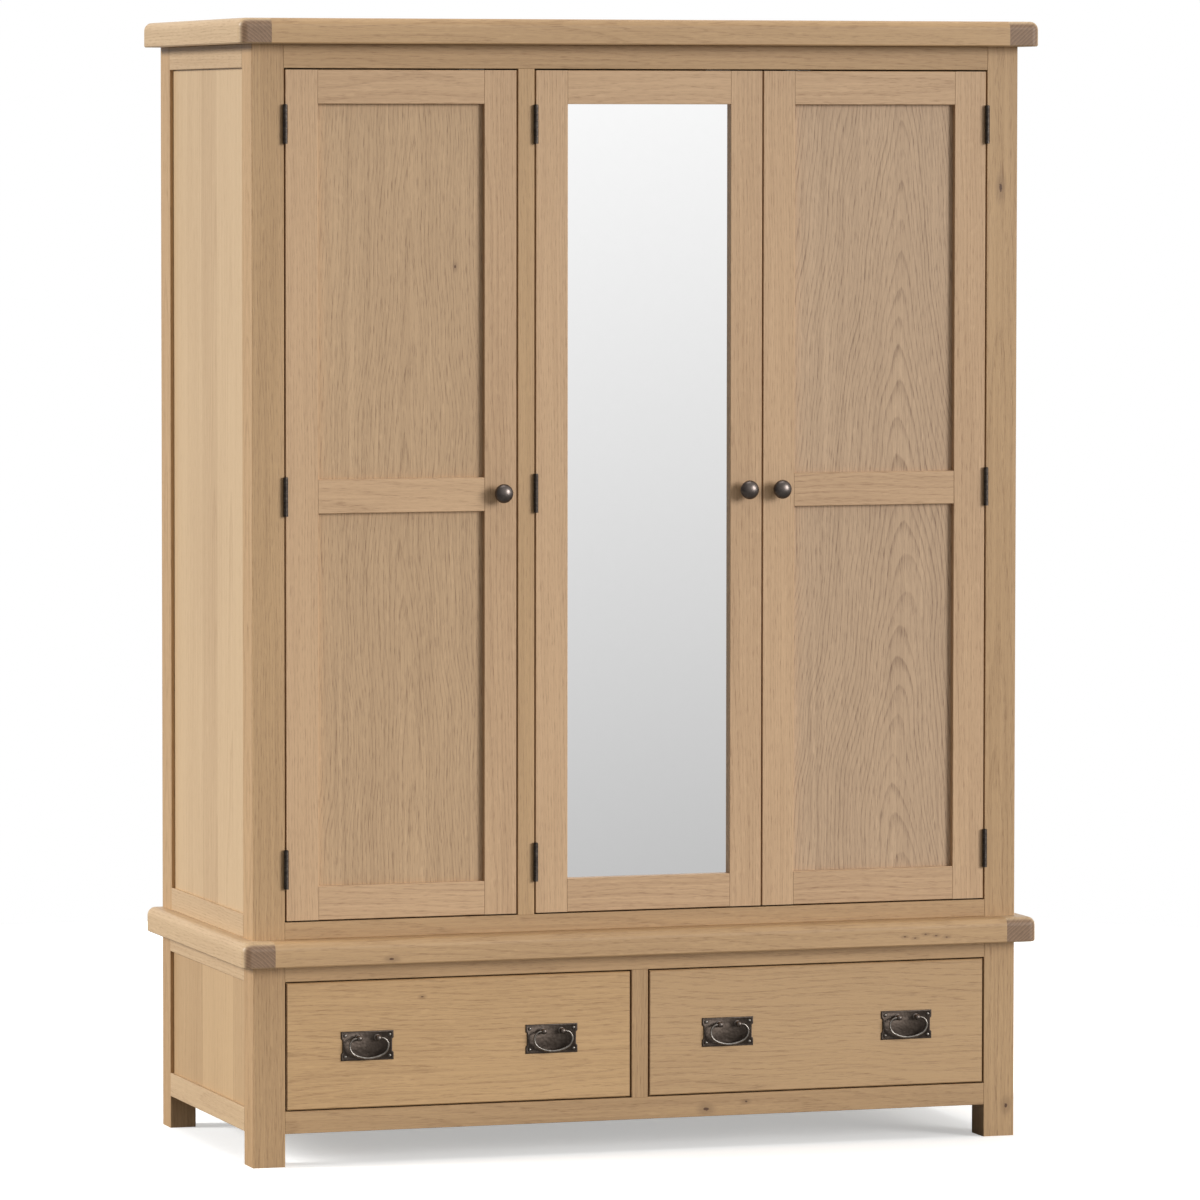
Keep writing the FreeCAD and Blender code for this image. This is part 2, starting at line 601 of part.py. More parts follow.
def hinges(doors):
    """Three butt hinges a door: leaves on the frame, leaves on the door, and pins."""
    frame_leaves, pins = [], []
    for name, x_axis, toward_door in doors:
        door_leaves = []
        for word, z in hinge_heights():
            frame_leaves.append(hinge_leaf(f"{name}_{word}_frame_leaf", x_axis, -toward_door, z,
                                           range(0, KNUCKLES, 2)))
            door_leaves.append(hinge_leaf(f"{name}_{word}_door_leaf", x_axis, toward_door, z,
                                          range(1, KNUCKLES, 2)))
            y_axis = f"({FRONT} - knuckle_radius - knuckle_standoff)"
            shank = rod(f"{name}_{word}_shank", "pin_radius", "hinge_length", (x_axis, y_axis, z))
            head = rod(f"{name}_{word}_head", "pin_head_radius", "pin_head",
                       (x_axis, y_axis, f"{z} + hinge_length"))
            pins.append(fused(f"{name}_{word}_pin", [shank, head]))
        node(name + "_hinge_leaves", *door_leaves)
    node("hinge_frame_leaves", *frame_leaves)
    node("hinge_pins", *pins)


def doors():
    top_of_bottom_rail = f"({DOOR_BOTTOM} + door_rail)"
    under_top_rail = f"({DOOR_BOTTOM} + {DOOR_HEIGHT} - door_rail)"
    sheet_y = f"({FRONT} + door_recess)"
    inset = "door_stile / 2"
    for index, name in enumerate(("door_left", "door_mirror", "door_right")):
        x = door_left_edge(index)
        door_frame(name, x, name != "door_mirror")
        if name == "door_mirror":
            node("mirror_glass", door_infill("mirror_glass", x, sheet_y, "mirror_glass",
                                             top_of_bottom_rail, under_top_rail))
            node("mirror_backing", door_infill("mirror_backing", x, f"{sheet_y} + mirror_glass",
                                               "door_panel - mirror_glass", top_of_bottom_rail,
                                               under_top_rail))
        else:
            lower = door_infill(name + "_panel_lower", x, sheet_y, "door_panel", top_of_bottom_rail,
                                "(door_mid_height - door_rail / 2)")
            upper = door_infill(name + "_panel_upper", x, sheet_y, "door_panel",
                                "(door_mid_height + door_rail / 2)", under_top_rail)
            node(name + "_panels", lower, upper)
        knob(name, f"{x} + {inset}" if name == "door_right" else f"{x} + {DOOR_WIDTH} - {inset}")
    half_gap = f"{DOOR_GAP} / 2"
    hinges([("door_left", f"({door_left_edge(0)} - {half_gap})", RIGHT),
            ("door_mirror", f"({door_left_edge(1)} - {half_gap})", RIGHT),
            ("door_right", f"({door_left_edge(2)} + {DOOR_WIDTH} + {half_gap})", LEFT)])


def door_catches():
    """A catch behind the free top corner of each door, screwed to the back of the top rail."""
    catches = []
    for index, name in enumerate(("left", "mirror", "right")):
        x = door_left_edge(index)
        centre = f"{x} + catch_inset" if name == "right" else f"{x} + {DOOR_WIDTH} - catch_inset"
        catches.append(board(f"catch_{name}", ("catch_width", "catch_depth",
                                               "upper_top_rail + catch_drop"),
                             (f"{centre} - catch_width / 2", UPPER_RAIL_BACK,
                              f"{OPENING_HIGH} - catch_drop")))
    node("door_catches", *catches)


# ---------------------------------------------------------------- drawers

def drawer(name, side):
    near = "(divider_width / 2 + drawer_gap)"
    x = x_from_centre(side, near, DRAWER_WIDTH)
    height = f"({DRAWER_HIGH} - {DRAWER_LOW} - 2 * drawer_gap)"
    front = extrusion(name + "_front", "XZ", rectangle(DRAWER_WIDTH, height), "drawer_front",
                      (x, FRONT, f"{DRAWER_LOW} + drawer_gap"))
    face = edges_where(front.Tip.Shape, lambda edge, box: edge.YMax < box.YMin + TOUCH)
    dress(front, front.Tip, "Chamfer", face, "drawer_arris")
    node(name + "_front", front)

    box_near = "(divider_width / 2 + drawer_side_clearance)"
    box_width = f"({POST_INNER} - drawer_side_clearance - {box_near})"
    box_x = x_from_centre(side, box_near, box_width)
    low = f"({DRAWER_LOW} + drawer_lift)"
    y = f"({FRONT} + drawer_front)"
    floor_z = f"({low} + drawer_bottom_lift)"
    inside = "(drawer_side - drawer_groove)"
    side_outline = [("0", "0"), ("drawer_side", "0"), ("drawer_side", "drawer_bottom_lift"),
                    (inside, "drawer_bottom_lift"), (inside, "drawer_bottom_lift + drawer_bottom"),
                    ("drawer_side", "drawer_bottom_lift + drawer_bottom"),
                    ("drawer_side", DRAWER_SIDE_HEIGHT), ("0", DRAWER_SIDE_HEIGHT)]
    left = extrusion(name + "_side_left", "XZ", side_outline, DRAWER_LENGTH, (box_x, y, low),
                     "frame_arris")
    right = extrusion(name + "_side_right", "XZ", mirrored(side_outline, "drawer_side"),
                      DRAWER_LENGTH, (f"{box_x} + {box_width} - drawer_side", y, low),
                      "frame_arris")
    back = board(name + "_back", (f"{box_width} - 2 * drawer_side", "drawer_side",
                                  f"{DRAWER_SIDE_HEIGHT} - drawer_bottom_lift - drawer_bottom"),
                 (f"{box_x} + drawer_side", f"{y} + {DRAWER_LENGTH} - drawer_side",
                  f"{floor_z} + drawer_bottom"))
    node(name + "_box", left, right, back)
    node(name + "_bottom", board(name + "_bottom", (f"{box_width} - 2 * {inside}", DRAWER_LENGTH,
                                                    "drawer_bottom"), (f"{box_x} + {inside}", y, floor_z)))
    handles(name, f"({x} + {DRAWER_WIDTH} / 2)")


def handles(name, centre):
    """Two bail handles: a notched plate with two studs each, and a bail that swings in them."""
    plates = []
    height = f"(({DRAWER_LOW} + {DRAWER_HIGH}) / 2 - handle_drop)"
    for word, sign in (("left", "-"), ("right", "+")):
        x = f"({centre} {sign} handle_spacing / 2)"
        plates.append(handle_plate(f"{name}_plate_{word}", x, height))
        node(f"{name}_bail_{word}", bail(f"{name}_bail_{word}", x, height))
    node(name + "_handle_plates", *plates)


def stud_height(centre_z):
    return f"({centre_z} + plate_height / 2 - stud_below_edge)"


def handle_plate(name, x, z):
    step, far = "plate_notch", "plate_width - plate_notch"
    ear, top = "plate_ear", "plate_height - plate_ear"
    outline = [("0", "0"), ("plate_width", "0"), ("plate_width", ear), (far, ear), (far, top),
               ("plate_width", top), ("plate_width", "plate_height"), ("0", "plate_height"),
               ("0", top), (step, top), (step, ear), ("0", ear)]
    plate = extrusion(name + "_sheet", "XZ", outline, "plate_thickness",
                      (f"{x} - plate_width / 2", f"{FRONT} - plate_thickness",
                       f"{z} - plate_height / 2"))
    outward, along_x = turned(("X", 90)), turned(("Y", 90))
    stud_z = stud_height(z)
    solids, bores = [plate], []
    for word, sign in (("left", "-"), ("right", "+")):
        stud_x = f"({x} {sign} stud_spacing / 2)"
        solids.append(rod(f"{name}_stud_{word}", "stud_radius", "bail_standoff",
                          (stud_x, f"{FRONT} - plate_thickness", stud_z), outward))
        ball = doc.addObject("Part::Sphere", f"{name}_ball_{word}")
        bind(ball, Radius="stud_ball_radius")
        solids.append(place(ball, stud_x, PIVOT_Y, stud_z))
        depth = "(bail_pin_depth + bail_bore_clearance)"
        bore_x = f"{stud_x} - {depth}" if sign == "+" else f"{stud_x} + {depth} - 2 * stud_ball_radius"
        bores.append(rod(f"{name}_bore_{word}", "bail_rod_radius + bail_bore_clearance",
                         "2 * stud_ball_radius", (bore_x, PIVOT_Y, stud_z), along_x))
    return cut(name, fused(name + "_solid", solids), bores)


def bail(name, x, z):
    """A bent rod: pins in the studs, round shoulders, tighter cheeks and a shallow lowest arc."""
    pivot_z = stud_height(z)
    reach = "(stud_spacing / 2 + stud_ball_radius - bail_tuck)"
    below = "(bail_drop - bail_shoulder)"
    cheek = f"({below} * bail_cheek_ratio)"
    inset = f"({reach} + bail_shoulder - {cheek})"
    lowest = f"(({inset}^2 + {below}^2 - {cheek}^2) / (2 * ({below} - {cheek})))"
    sweep = f"atan(({lowest} - {below}) / {inset})"

    def arc(word, centre_x, centre_z, radius, angle, rotation):
        bend = doc.addObject("Part::Torus", f"{name}_{word}")
        bind(bend, Radius1=radius, Radius2="bail_rod_radius", Angle3=angle)
        return place(bend, f"{x} + {centre_x}", PIVOT_Y, f"{pivot_z} + {centre_z}", rotation)

    pin = f"({reach} - stud_spacing / 2 + bail_pin_depth)"
    along_x = turned(("Y", 90))
    solids = [rod(name + "_pin_left", "bail_rod_radius", pin, (f"{x} - {reach}", PIVOT_Y, pivot_z),
                  along_x),
              rod(name + "_pin_right", "bail_rod_radius", pin,
                  (f"{x} + {reach} - {pin}", PIVOT_Y, pivot_z), along_x),
              arc("shoulder_left", f"-{reach}", "-bail_shoulder", "bail_shoulder", "90",
                  turned(("X", 90), ("Z", 90))),
              arc("shoulder_right", reach, "-bail_shoulder", "bail_shoulder", "90",
                  turned(("X", 90))),
              arc("cheek_left", f"-{inset}", "-bail_shoulder", cheek, sweep,
                  turned(("X", 90), ("Z", 180))),
              arc("cheek_right", inset, "-bail_shoulder", cheek, sweep, turned(("X", -90))),
              arc("lowest_left", "0", f"{lowest} - bail_drop", lowest, f"90deg - {sweep}",
                  turned(("X", -90), ("Z", 90))),
              arc("lowest_right", "0", f"{lowest} - bail_drop", lowest, f"90deg - {sweep}",
                  turned(("X", 90), ("Z", 270)))]
    return fused(name, solids)


# ---------------------------------------------------------------- whole

def check_and_write():
    for item in doc.Objects:
        if "Invalid" in item.State or "Error" in item.State:
            raise RuntimeError(f"{item.Name} failed to compute")
    os.makedirs("parts", exist_ok=True)
    for item in nodes:
        if item.Shape.isNull() or not item.Shape.isValid():
            raise RuntimeError(f"{item.Label} has no valid shape")
        item.Shape.exportStep(f"parts/{item.Label}.step")
        box = item.Shape.BoundBox
        print(f"{item.Label}: {len(item.Shape.Solids)} solids, {box.XLength:.1f} x "
              f"{box.YLength:.1f} x {box.ZLength:.1f}")
    print(len(nodes), "nodes")


def build():
    write_sizes()
    base_legs()
    base_front()
    side_frames("base", "ground_clearance", "base_height", "base_side_bottom_rail",
                "base_side_top_rail", f"({FRONT} + leg_depth)", f"({BACK} - back_leg_depth)")
    base_inside()
    cap("base_top", "base_height", "base_side_overhang", "base_front_overhang")
    upper_posts()
    upper_front()
    side_frames("upper", UPPER_LOW, UPPER_HIGH, "upper_side_bottom_rail", "upper_side_top_rail",
                f"({FRONT} + upper_post_depth)", f"({BACK} - back_stile_depth)")
    upper_inside()
    backs()
    hanging_rails()
    cap("cornice", UPPER_HIGH, "cornice_side_overhang", "cornice_front_overhang")
    doors()
    door_catches()
    drawer("drawer_left", LEFT)
    drawer("drawer_right", RIGHT)
    doc.recompute()
    check_and_write()


build()
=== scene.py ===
import json
import math

import bmesh
import bpy
from mathutils import Matrix, Vector


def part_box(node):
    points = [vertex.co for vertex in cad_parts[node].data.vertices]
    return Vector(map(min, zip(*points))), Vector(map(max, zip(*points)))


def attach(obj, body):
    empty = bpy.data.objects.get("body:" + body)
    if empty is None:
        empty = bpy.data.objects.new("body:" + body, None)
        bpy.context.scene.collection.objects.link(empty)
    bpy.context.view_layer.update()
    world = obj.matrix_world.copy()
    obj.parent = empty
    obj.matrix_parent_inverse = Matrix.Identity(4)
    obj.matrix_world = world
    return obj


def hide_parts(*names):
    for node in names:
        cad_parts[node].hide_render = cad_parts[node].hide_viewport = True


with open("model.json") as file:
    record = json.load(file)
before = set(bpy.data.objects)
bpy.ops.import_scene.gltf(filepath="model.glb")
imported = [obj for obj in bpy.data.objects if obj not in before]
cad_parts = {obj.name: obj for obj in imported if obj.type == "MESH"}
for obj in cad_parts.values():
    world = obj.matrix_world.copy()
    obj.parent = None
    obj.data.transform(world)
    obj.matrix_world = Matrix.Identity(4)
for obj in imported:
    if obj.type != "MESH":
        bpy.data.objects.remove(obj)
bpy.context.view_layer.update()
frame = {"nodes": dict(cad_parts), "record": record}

# A three-door oak wardrobe on a base with two drawers.  Metres, +Z up, front towards -Y.

MM = 0.001
WELD = 1e-6
SIDES = ("left", "right")


# ------------------------------------------------------------ small helpers

def linear(red, green, blue):
    """A colour given as 0 to 255 display values, as linear light."""
    channels = []
    for value in (red, green, blue):
        share = value / 255
        channels.append(share / 12.92 if share <= 0.04045 else ((share + 0.055) / 1.055) ** 2.4)
    return (*channels, 1.0)


def finished(name, mesh, material, body, smooth_angle=35):
    """Turn a bmesh into a piece that rides on a body."""
    bmesh.ops.recalc_face_normals(mesh, faces=mesh.faces)
    data = bpy.data.meshes.new(name)
    mesh.to_mesh(data)
    mesh.free()
    data.materials.append(material)
    for face in data.polygons:
        face.use_smooth = True
    data.set_sharp_from_angle(angle=math.radians(smooth_angle))
    piece = bpy.data.objects.new(name, data)
    bpy.context.scene.collection.objects.link(piece)
    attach(piece, body)
    return piece


def box_centre(node):
    low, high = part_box(node)
    return (low + high) / 2


def dress(node, material):
    """Give a node of the design one material."""
    data = frame["nodes"][node].data
    data.materials.clear()
    data.materials.append(material)


def added_box(mesh, low, high):
    """Add a box between two corners."""
    low, high = Vector(low), Vector(high)
    size = high - low
    place = Matrix.Translation((low + high) / 2) @ Matrix.Diagonal((*size, 1))
    bmesh.ops.create_cube(mesh, size=1, matrix=place)


def soften(mesh, edges, width, segments=3):
    bmesh.ops.bevel(mesh, geom=edges, offset=width, offset_type="OFFSET", segments=segments,
                    profile=0.5, affect="EDGES", material=-1)


def turned_solid(mesh, profile, matrix, steps=40):
    """Spin (radius, height) points round +Z, then put the result in place.  Finished points are
    tagged, so that the next solid in the same mesh leaves them alone."""
    made = [mesh.verts.new((radius, 0, height)) for radius, height in profile]
    edges = [mesh.edges.new(pair) for pair in zip(made, made[1:])]
    bmesh.ops.spin(mesh, geom=made + edges, cent=(0, 0, 0), axis=(0, 0, 1), angle=math.tau,
                   steps=steps, use_merge=True, use_duplicate=False)
    new = [item for item in mesh.verts if item.link_faces and not item.tag]
    bmesh.ops.remove_doubles(mesh, verts=new, dist=WELD)
    new = [item for item in mesh.verts if not item.tag]
    bmesh.ops.transform(mesh, matrix=matrix, verts=new)
    for item in new:
        item.tag = True


def arc_points(centre, radius, start, end, count):
    """Points on an arc, angles in degrees from the first axis."""
    points = []
    for step in range(count + 1):
        angle = math.radians(start + (end - start) * step / count)
        points.append((centre[0] + radius * math.cos(angle), centre[1] + radius * math.sin(angle)))
    return points


# ------------------------------------------------------------ shader helpers

class Shader:
    """Short calls for making and linking the nodes of one tree."""

    def __init__(self, tree):
        self.tree = tree

    def make(self, kind, **settings):
        item = self.tree.nodes.new(kind)
        for name, value in settings.items():
            setattr(item, name, value)
        return item

    def feed(self, socket, value):
        if isinstance(value, bpy.types.NodeSocket):
            self.tree.links.new(value, socket)
        else:
            socket.default_value = value

    def math(self, operation, first, second=0.0, third=None, clamp=False):
        item = self.make("ShaderNodeMath", operation=operation, use_clamp=clamp)
        self.feed(item.inputs[0], first)
        self.feed(item.inputs[1], second)
        if third is not None:
            self.feed(item.inputs[2], third)
        return item.outputs[0]

    def join(self, x, y, z):
        item = self.make("ShaderNodeCombineXYZ")
        for socket, value in zip(item.inputs, (x, y, z)):
            self.feed(socket, value)
        return item.outputs[0]

    def split(self, vector):
        item = self.make("ShaderNodeSeparateXYZ")
        self.feed(item.inputs[0], vector)
        return item.outputs

    def noise(self, vector, scale=1.0, detail=2.0, roughness=0.5):
        item = self.make("ShaderNodeTexNoise")
        self.feed(item.inputs["Vector"], vector)
        self.feed(item.inputs["Scale"], scale)
        item.inputs["Detail"].default_value = detail
        item.inputs["Roughness"].default_value = roughness
        return item.outputs["Fac"]

    def scaled(self, vector, x, y, z):
        item = self.make("ShaderNodeVectorMath", operation="MULTIPLY")
        self.feed(item.inputs[0], vector)
        item.inputs[1].default_value = (x, y, z)
        return item.outputs[0]

    def ramp(self, value, low, high, to_low=0.0, to_high=1.0, smooth=False):
        item = self.make("ShaderNodeMapRange", clamp=True,
                         interpolation_type="SMOOTHSTEP" if smooth else "LINEAR")
        for socket, number in zip(item.inputs, (value, low, high, to_low, to_high)):
            self.feed(socket, number)
        return item.outputs[0]

    def blend(self, factor, first, second):
        item = self.make("ShaderNodeMix", data_type="RGBA")
        self.feed(item.inputs[0], factor)
        self.feed(item.inputs[6], first)
        self.feed(item.inputs[7], second)
        return item.outputs[2]


def new_group(name, inputs, outputs):
    """A node group with typed, named sockets, ready to be filled in."""
    tree = bpy.data.node_groups.new(name, "ShaderNodeTree")
    for socket_name, (kind, default) in inputs.items():
        socket = tree.interface.new_socket(socket_name, in_out="INPUT", socket_type=kind)
        if default is not None:
            socket.default_value = default
    for socket_name, kind in outputs.items():
        tree.interface.new_socket(socket_name, in_out="OUTPUT", socket_type=kind)
    shader = Shader(tree)
    return shader, shader.make("NodeGroupInput").outputs, shader.make("NodeGroupOutput").inputs


NUMBER, VECTOR, COLOUR = "NodeSocketFloat", "NodeSocketVector", "NodeSocketColor"


# how fine each mark is across, into and along the grain, in marks per metre
PORE_SCALE, FIBRE_SCALE, CLOUD_SCALE = (640, 640, 42), (190, 190, 2.2), (9, 9, 1.6)
FLECK_SCALE, RAY_SCALE, RIPPLE_SCALE = (130, 130, 40), (260, 260, 5), (16, 16, 3.0)
RIPPLE_SIZE, SPACING_SIZE, FIBRE_STRENGTH, FLECK_STRENGTH = 0.009, 0.010, 0.75, -0.1
END_GRAIN_TILT, END_GRAIN_DEPTH, END_GRAIN_DARK = (0.5, 0.85), 0.62, linear(66, 46, 32)


def oak_figure_group():
    """Growth rings, pores, fibres and tone of sawn oak.  Z runs along the grain, and Normal is
    in the same space, so that end grain darkens and shows its rings."""
    shader, given, out = new_group(
        "oak_figure",
        {"Vector": (VECTOR, None), "Normal": (VECTOR, None), "Seed": (NUMBER, 0.0),
         "Ring Width": (NUMBER, 0.006), "Heart Side": (NUMBER, 0.0), "Heart Depth": (NUMBER, 0.03),
         "Rise": (NUMBER, 0.05), "Wander": (NUMBER, 0.02), "Figure": (NUMBER, 0.5),
         "Pores": (NUMBER, 0.5), "Stave": (NUMBER, 9.0), "Stave Tone": (NUMBER, 0.0),
         "Cloud": (NUMBER, 0.3), "Shade": (NUMBER, 0.3), "Pale": (COLOUR, None),
         "Deep": (COLOUR, None), "End": (COLOUR, None)},
        {"Color": COLOUR, "Height": NUMBER, "Roughness": NUMBER})
    across, depth, along = shader.split(given["Vector"])
    face = given["Vector"]

    # each glued stave has its own piece of tree
    place = shader.math("DIVIDE", across, given["Stave"])
    index = shader.math("FLOOR", shader.math("ADD", place, 0.5))
    dice = shader.make("ShaderNodeTexWhiteNoise", noise_dimensions="2D")
    shader.feed(dice.inputs["Vector"], shader.join(index, given["Seed"], 0.0))
    shift_a, shift_b, shift_c = shader.split(dice.outputs["Color"])
    in_stave = shader.math("MULTIPLY", shader.math("SUBTRACT", place, index), given["Stave"])

    # slow drift of the grain, and the tapering trunk that draws arches on a flat face
    drift = shader.noise(shader.join(shader.math("MULTIPLY", across, 3.0),
                                     shader.math("ADD", given["Seed"], shift_a),
                                     shader.math("MULTIPLY", along, 1.5)), 1.6, 2.0)
    wander = shader.math("MULTIPLY", shader.math("SUBTRACT", drift, 0.5), given["Wander"])
    heart_x = shader.math("ADD", shader.math("ADD", in_stave, wander),
                          shader.math("MULTIPLY", shader.math("SUBTRACT", shift_b, 0.5), 0.04))
    heart_x = shader.math("ADD", heart_x, given["Heart Side"])
    heart_y = shader.math("ADD", shader.math("PINGPONG", depth, 0.09), given["Heart Depth"])
    radius = shader.math("SQRT", shader.math("ADD", shader.math("MULTIPLY", heart_x, heart_x),
                                             shader.math("MULTIPLY", heart_y, heart_y)))
    start = shader.math("ADD", along, shader.math("MULTIPLY", shift_c, 4.0))
    climb = shader.math("MULTIPLY", start, given["Rise"])
    ripple = shader.math("MULTIPLY", shader.noise(shader.scaled(face, *RIPPLE_SCALE), 1.0, 1.6),
                         RIPPLE_SIZE)
    growth = shader.math("ADD", shader.math("ADD", radius, climb), ripple)
    spacing = shader.noise(shader.join(growth, given["Seed"], 3.0), 45.0, 1.0)
    growth = shader.math("MULTIPLY_ADD", spacing, SPACING_SIZE, growth)
    ring = shader.math("FRACT", shader.math("DIVIDE", growth, given["Ring Width"]))
    line = shader.math("MULTIPLY", shader.ramp(ring, 0.55, 0.93, smooth=True),
                       shader.ramp(ring, 0.93, 1.0, 1.0, 0.0))
    uneven = shader.ramp(shader.noise(shader.join(growth, given["Seed"], 0.0), 70.0, 1.0),
                         0.3, 0.7, 0.3, 1.0)
    line = shader.math("MULTIPLY", line, uneven)

    # open pores are dark dashes crowded along the ring lines; fibres are long soft streaks
    dashes = shader.noise(shader.scaled(face, *PORE_SCALE), 1.0, 2.0, 0.6)
    crowd = shader.ramp(ring, 0.3, 0.95, 0.45, 1.0)
    pores = shader.math("MULTIPLY", shader.ramp(dashes, 0.5, 0.66), crowd)
    streaks = shader.noise(shader.scaled(face, *FIBRE_SCALE), 1.0, 5.0, 0.7)
    fibres = shader.math("SUBTRACT", streaks, 0.5)
    cloud = shader.math("SUBTRACT", shader.noise(shader.scaled(face, *CLOUD_SCALE), 1.0, 3.0), 0.5)
    flecks = shader.ramp(shader.noise(shader.scaled(face, *FLECK_SCALE), 1.0, 1.0), 0.64, 0.76)

    dark = shader.math("MULTIPLY", line, given["Figure"])
    dark = shader.math("MULTIPLY_ADD", pores, given["Pores"], dark)
    dark = shader.math("MULTIPLY_ADD", fibres, FIBRE_STRENGTH, dark)
    dark = shader.math("MULTIPLY_ADD", cloud, given["Cloud"], dark)
    tone = shader.math("MULTIPLY", shader.math("SUBTRACT", shift_c, 0.5), given["Stave Tone"])
    dark = shader.math("ADD", dark, tone)
    dark = shader.math("MULTIPLY_ADD", flecks, FLECK_STRENGTH, dark)
    dark = shader.math("ADD", dark, given["Shade"], clamp=True)
    colour = shader.blend(dark, given["Pale"], given["Deep"])

    along_normal = shader.split(given["Normal"])[2]
    end = shader.ramp(shader.math("ABSOLUTE", along_normal), *END_GRAIN_TILT)
    rays = shader.noise(shader.scaled(face, *RAY_SCALE), 1.0, 3.0)
    end_dark = shader.math("ADD", shader.math("MULTIPLY", ring, 0.6), shader.math("MULTIPLY", rays, 0.6))
    end_deep = shader.blend(END_GRAIN_DEPTH, given["End"], END_GRAIN_DARK)
    shader.feed(out["Color"], shader.blend(end, colour, shader.blend(end_dark, given["End"], end_deep)))
    shader.feed(out["Height"], shader.math("SUBTRACT", 1.0, shader.math("MULTIPLY_ADD", line, 0.3, pores)))
    shader.feed(out["Roughness"], shader.ramp(dark, 0.0, 1.0, 0.42, 0.58))
    return shader.tree


def knot_group():
    """A small knot: a dark eye with a stained surround, as one mask."""
    shader, given, out = new_group(
        "knot_mark", {"Vector": (VECTOR, None), "Centre": (VECTOR, None), "Radius": (NUMBER, 0.004),
                      "Stretch": (VECTOR, (1.0, 1.0, 1.0))},
        {"Mask": NUMBER})
    away = shader.make("ShaderNodeVectorMath", operation="SUBTRACT")
    shader.feed(away.inputs[0], given["Vector"])
    shader.feed(away.inputs[1], given["Centre"])
    flat = shader.make("ShaderNodeVectorMath", operation="DIVIDE")
    shader.feed(flat.inputs[0], away.outputs[0])
    shader.feed(flat.inputs[1], given["Stretch"])
    length = shader.make("ShaderNodeVectorMath", operation="LENGTH")
    shader.feed(length.inputs[0], flat.outputs[0])
    ragged = shader.math("MULTIPLY", shader.noise(given["Vector"], 260.0, 2.0), 0.9)
    reach = shader.math("DIVIDE", length.outputs["Value"], given["Radius"])
    reach = shader.math("ADD", reach, ragged)
    eye = shader.ramp(reach, 0.9, 1.5, 1.0, 0.0, smooth=True)
    stain = shader.ramp(reach, 1.2, 4.2, 0.34, 0.0, smooth=True)
    shader.feed(out["Mask"], shader.math("MAXIMUM", eye, stain))
    return shader.tree


def patina_group():
    """Cast metal darkened by age: blotches, fine pitting and brighter rubbed places."""
    shader, given, out = new_group(
        "aged_metal", {"Vector": (VECTOR, None), "Dark": (COLOUR, None), "Bright": (COLOUR, None),
                       "Rubbed": (NUMBER, 0.4), "Hammer": (NUMBER, 1.0), "Smooth": (NUMBER, 0.3)},
        {"Color": COLOUR, "Roughness": NUMBER, "Height": NUMBER})
    blotch = shader.noise(given["Vector"], 170.0, 4.0, 0.6)
    pits = shader.noise(given["Vector"], 1500.0, 2.0, 0.6)
    hammered = shader.make("ShaderNodeTexVoronoi", feature="SMOOTH_F1")
    shader.feed(hammered.inputs["Vector"], given["Vector"])
    hammered.inputs["Scale"].default_value = 210.0
    rubbed = shader.math("MULTIPLY", shader.ramp(blotch, 0.42, 0.68), given["Rubbed"])
    shader.feed(out["Color"], shader.blend(rubbed, given["Dark"], given["Bright"]))
    shader.feed(out["Roughness"], shader.math("MULTIPLY_ADD", pits, 0.22, given["Smooth"]))
    height = shader.math("MULTIPLY", hammered.outputs["Distance"], given["Hammer"])
    shader.feed(out["Height"], shader.math("MULTIPLY_ADD", pits, 0.25, height))
    return shader.tree


OAK_FIGURE = oak_figure_group()
KNOT_MARK = knot_group()
AGED_METAL = patina_group()


def place_group(shader, tree, **values):
    item = shader.make("ShaderNodeGroup", node_tree=tree)
    for name, value in values.items():
        shader.feed(item.inputs[name.replace("_", " ")], value)
    return item.outputs


def blank_material(name):
    material = bpy.data.materials.new(name)
    material.use_nodes = True
    shader = Shader(material.node_tree)
    surface = material.node_tree.nodes["Principled BSDF"]
    return material, shader, surface


def bump(shader, surface, height, strength, distance):
    item = shader.make("ShaderNodeBump")
    item.inputs["Strength"].default_value = strength
    item.inputs["Distance"].default_value = distance
    shader.feed(item.inputs["Height"], height)
    shader.feed(surface.inputs["Normal"], item.outputs["Normal"])


# ------------------------------------------------------------ wood

END_GRAIN = linear(156, 125, 97)
KNOT_BROWN = linear(86, 56, 34)
TONES = {
    "door": {"pale": linear(202, 167, 129), "deep": linear(131, 95, 63)},
    "carcass": {"pale": linear(190, 155, 113), "deep": linear(122, 87, 52)},
    "front": {"pale": linear(198, 161, 115), "deep": linear(128, 91, 53)},
    "panel": {"pale": linear(200, 167, 129), "deep": linear(123, 92, 63)},
    "cool_panel": {"pale": linear(197, 166, 133), "deep": linear(118, 90, 67)},
    "side": {"pale": linear(200, 171, 133), "deep": linear(146, 112, 80)},
    "low_side": {"pale": linear(192, 160, 119), "deep": linear(138, 104, 70)},
    "inner": {"pale": linear(204, 177, 140), "deep": linear(160, 128, 92)},
    "ply": {"pale": linear(192, 161, 122), "deep": linear(142, 108, 74)},
}
# which axes run across, into and along the grain
GRAIN_ORDER = {"X": (2, 1, 0), "Z": (0, 1, 2), "Z on side": (1, 0, 2), "Y on side": (2, 0, 1)}


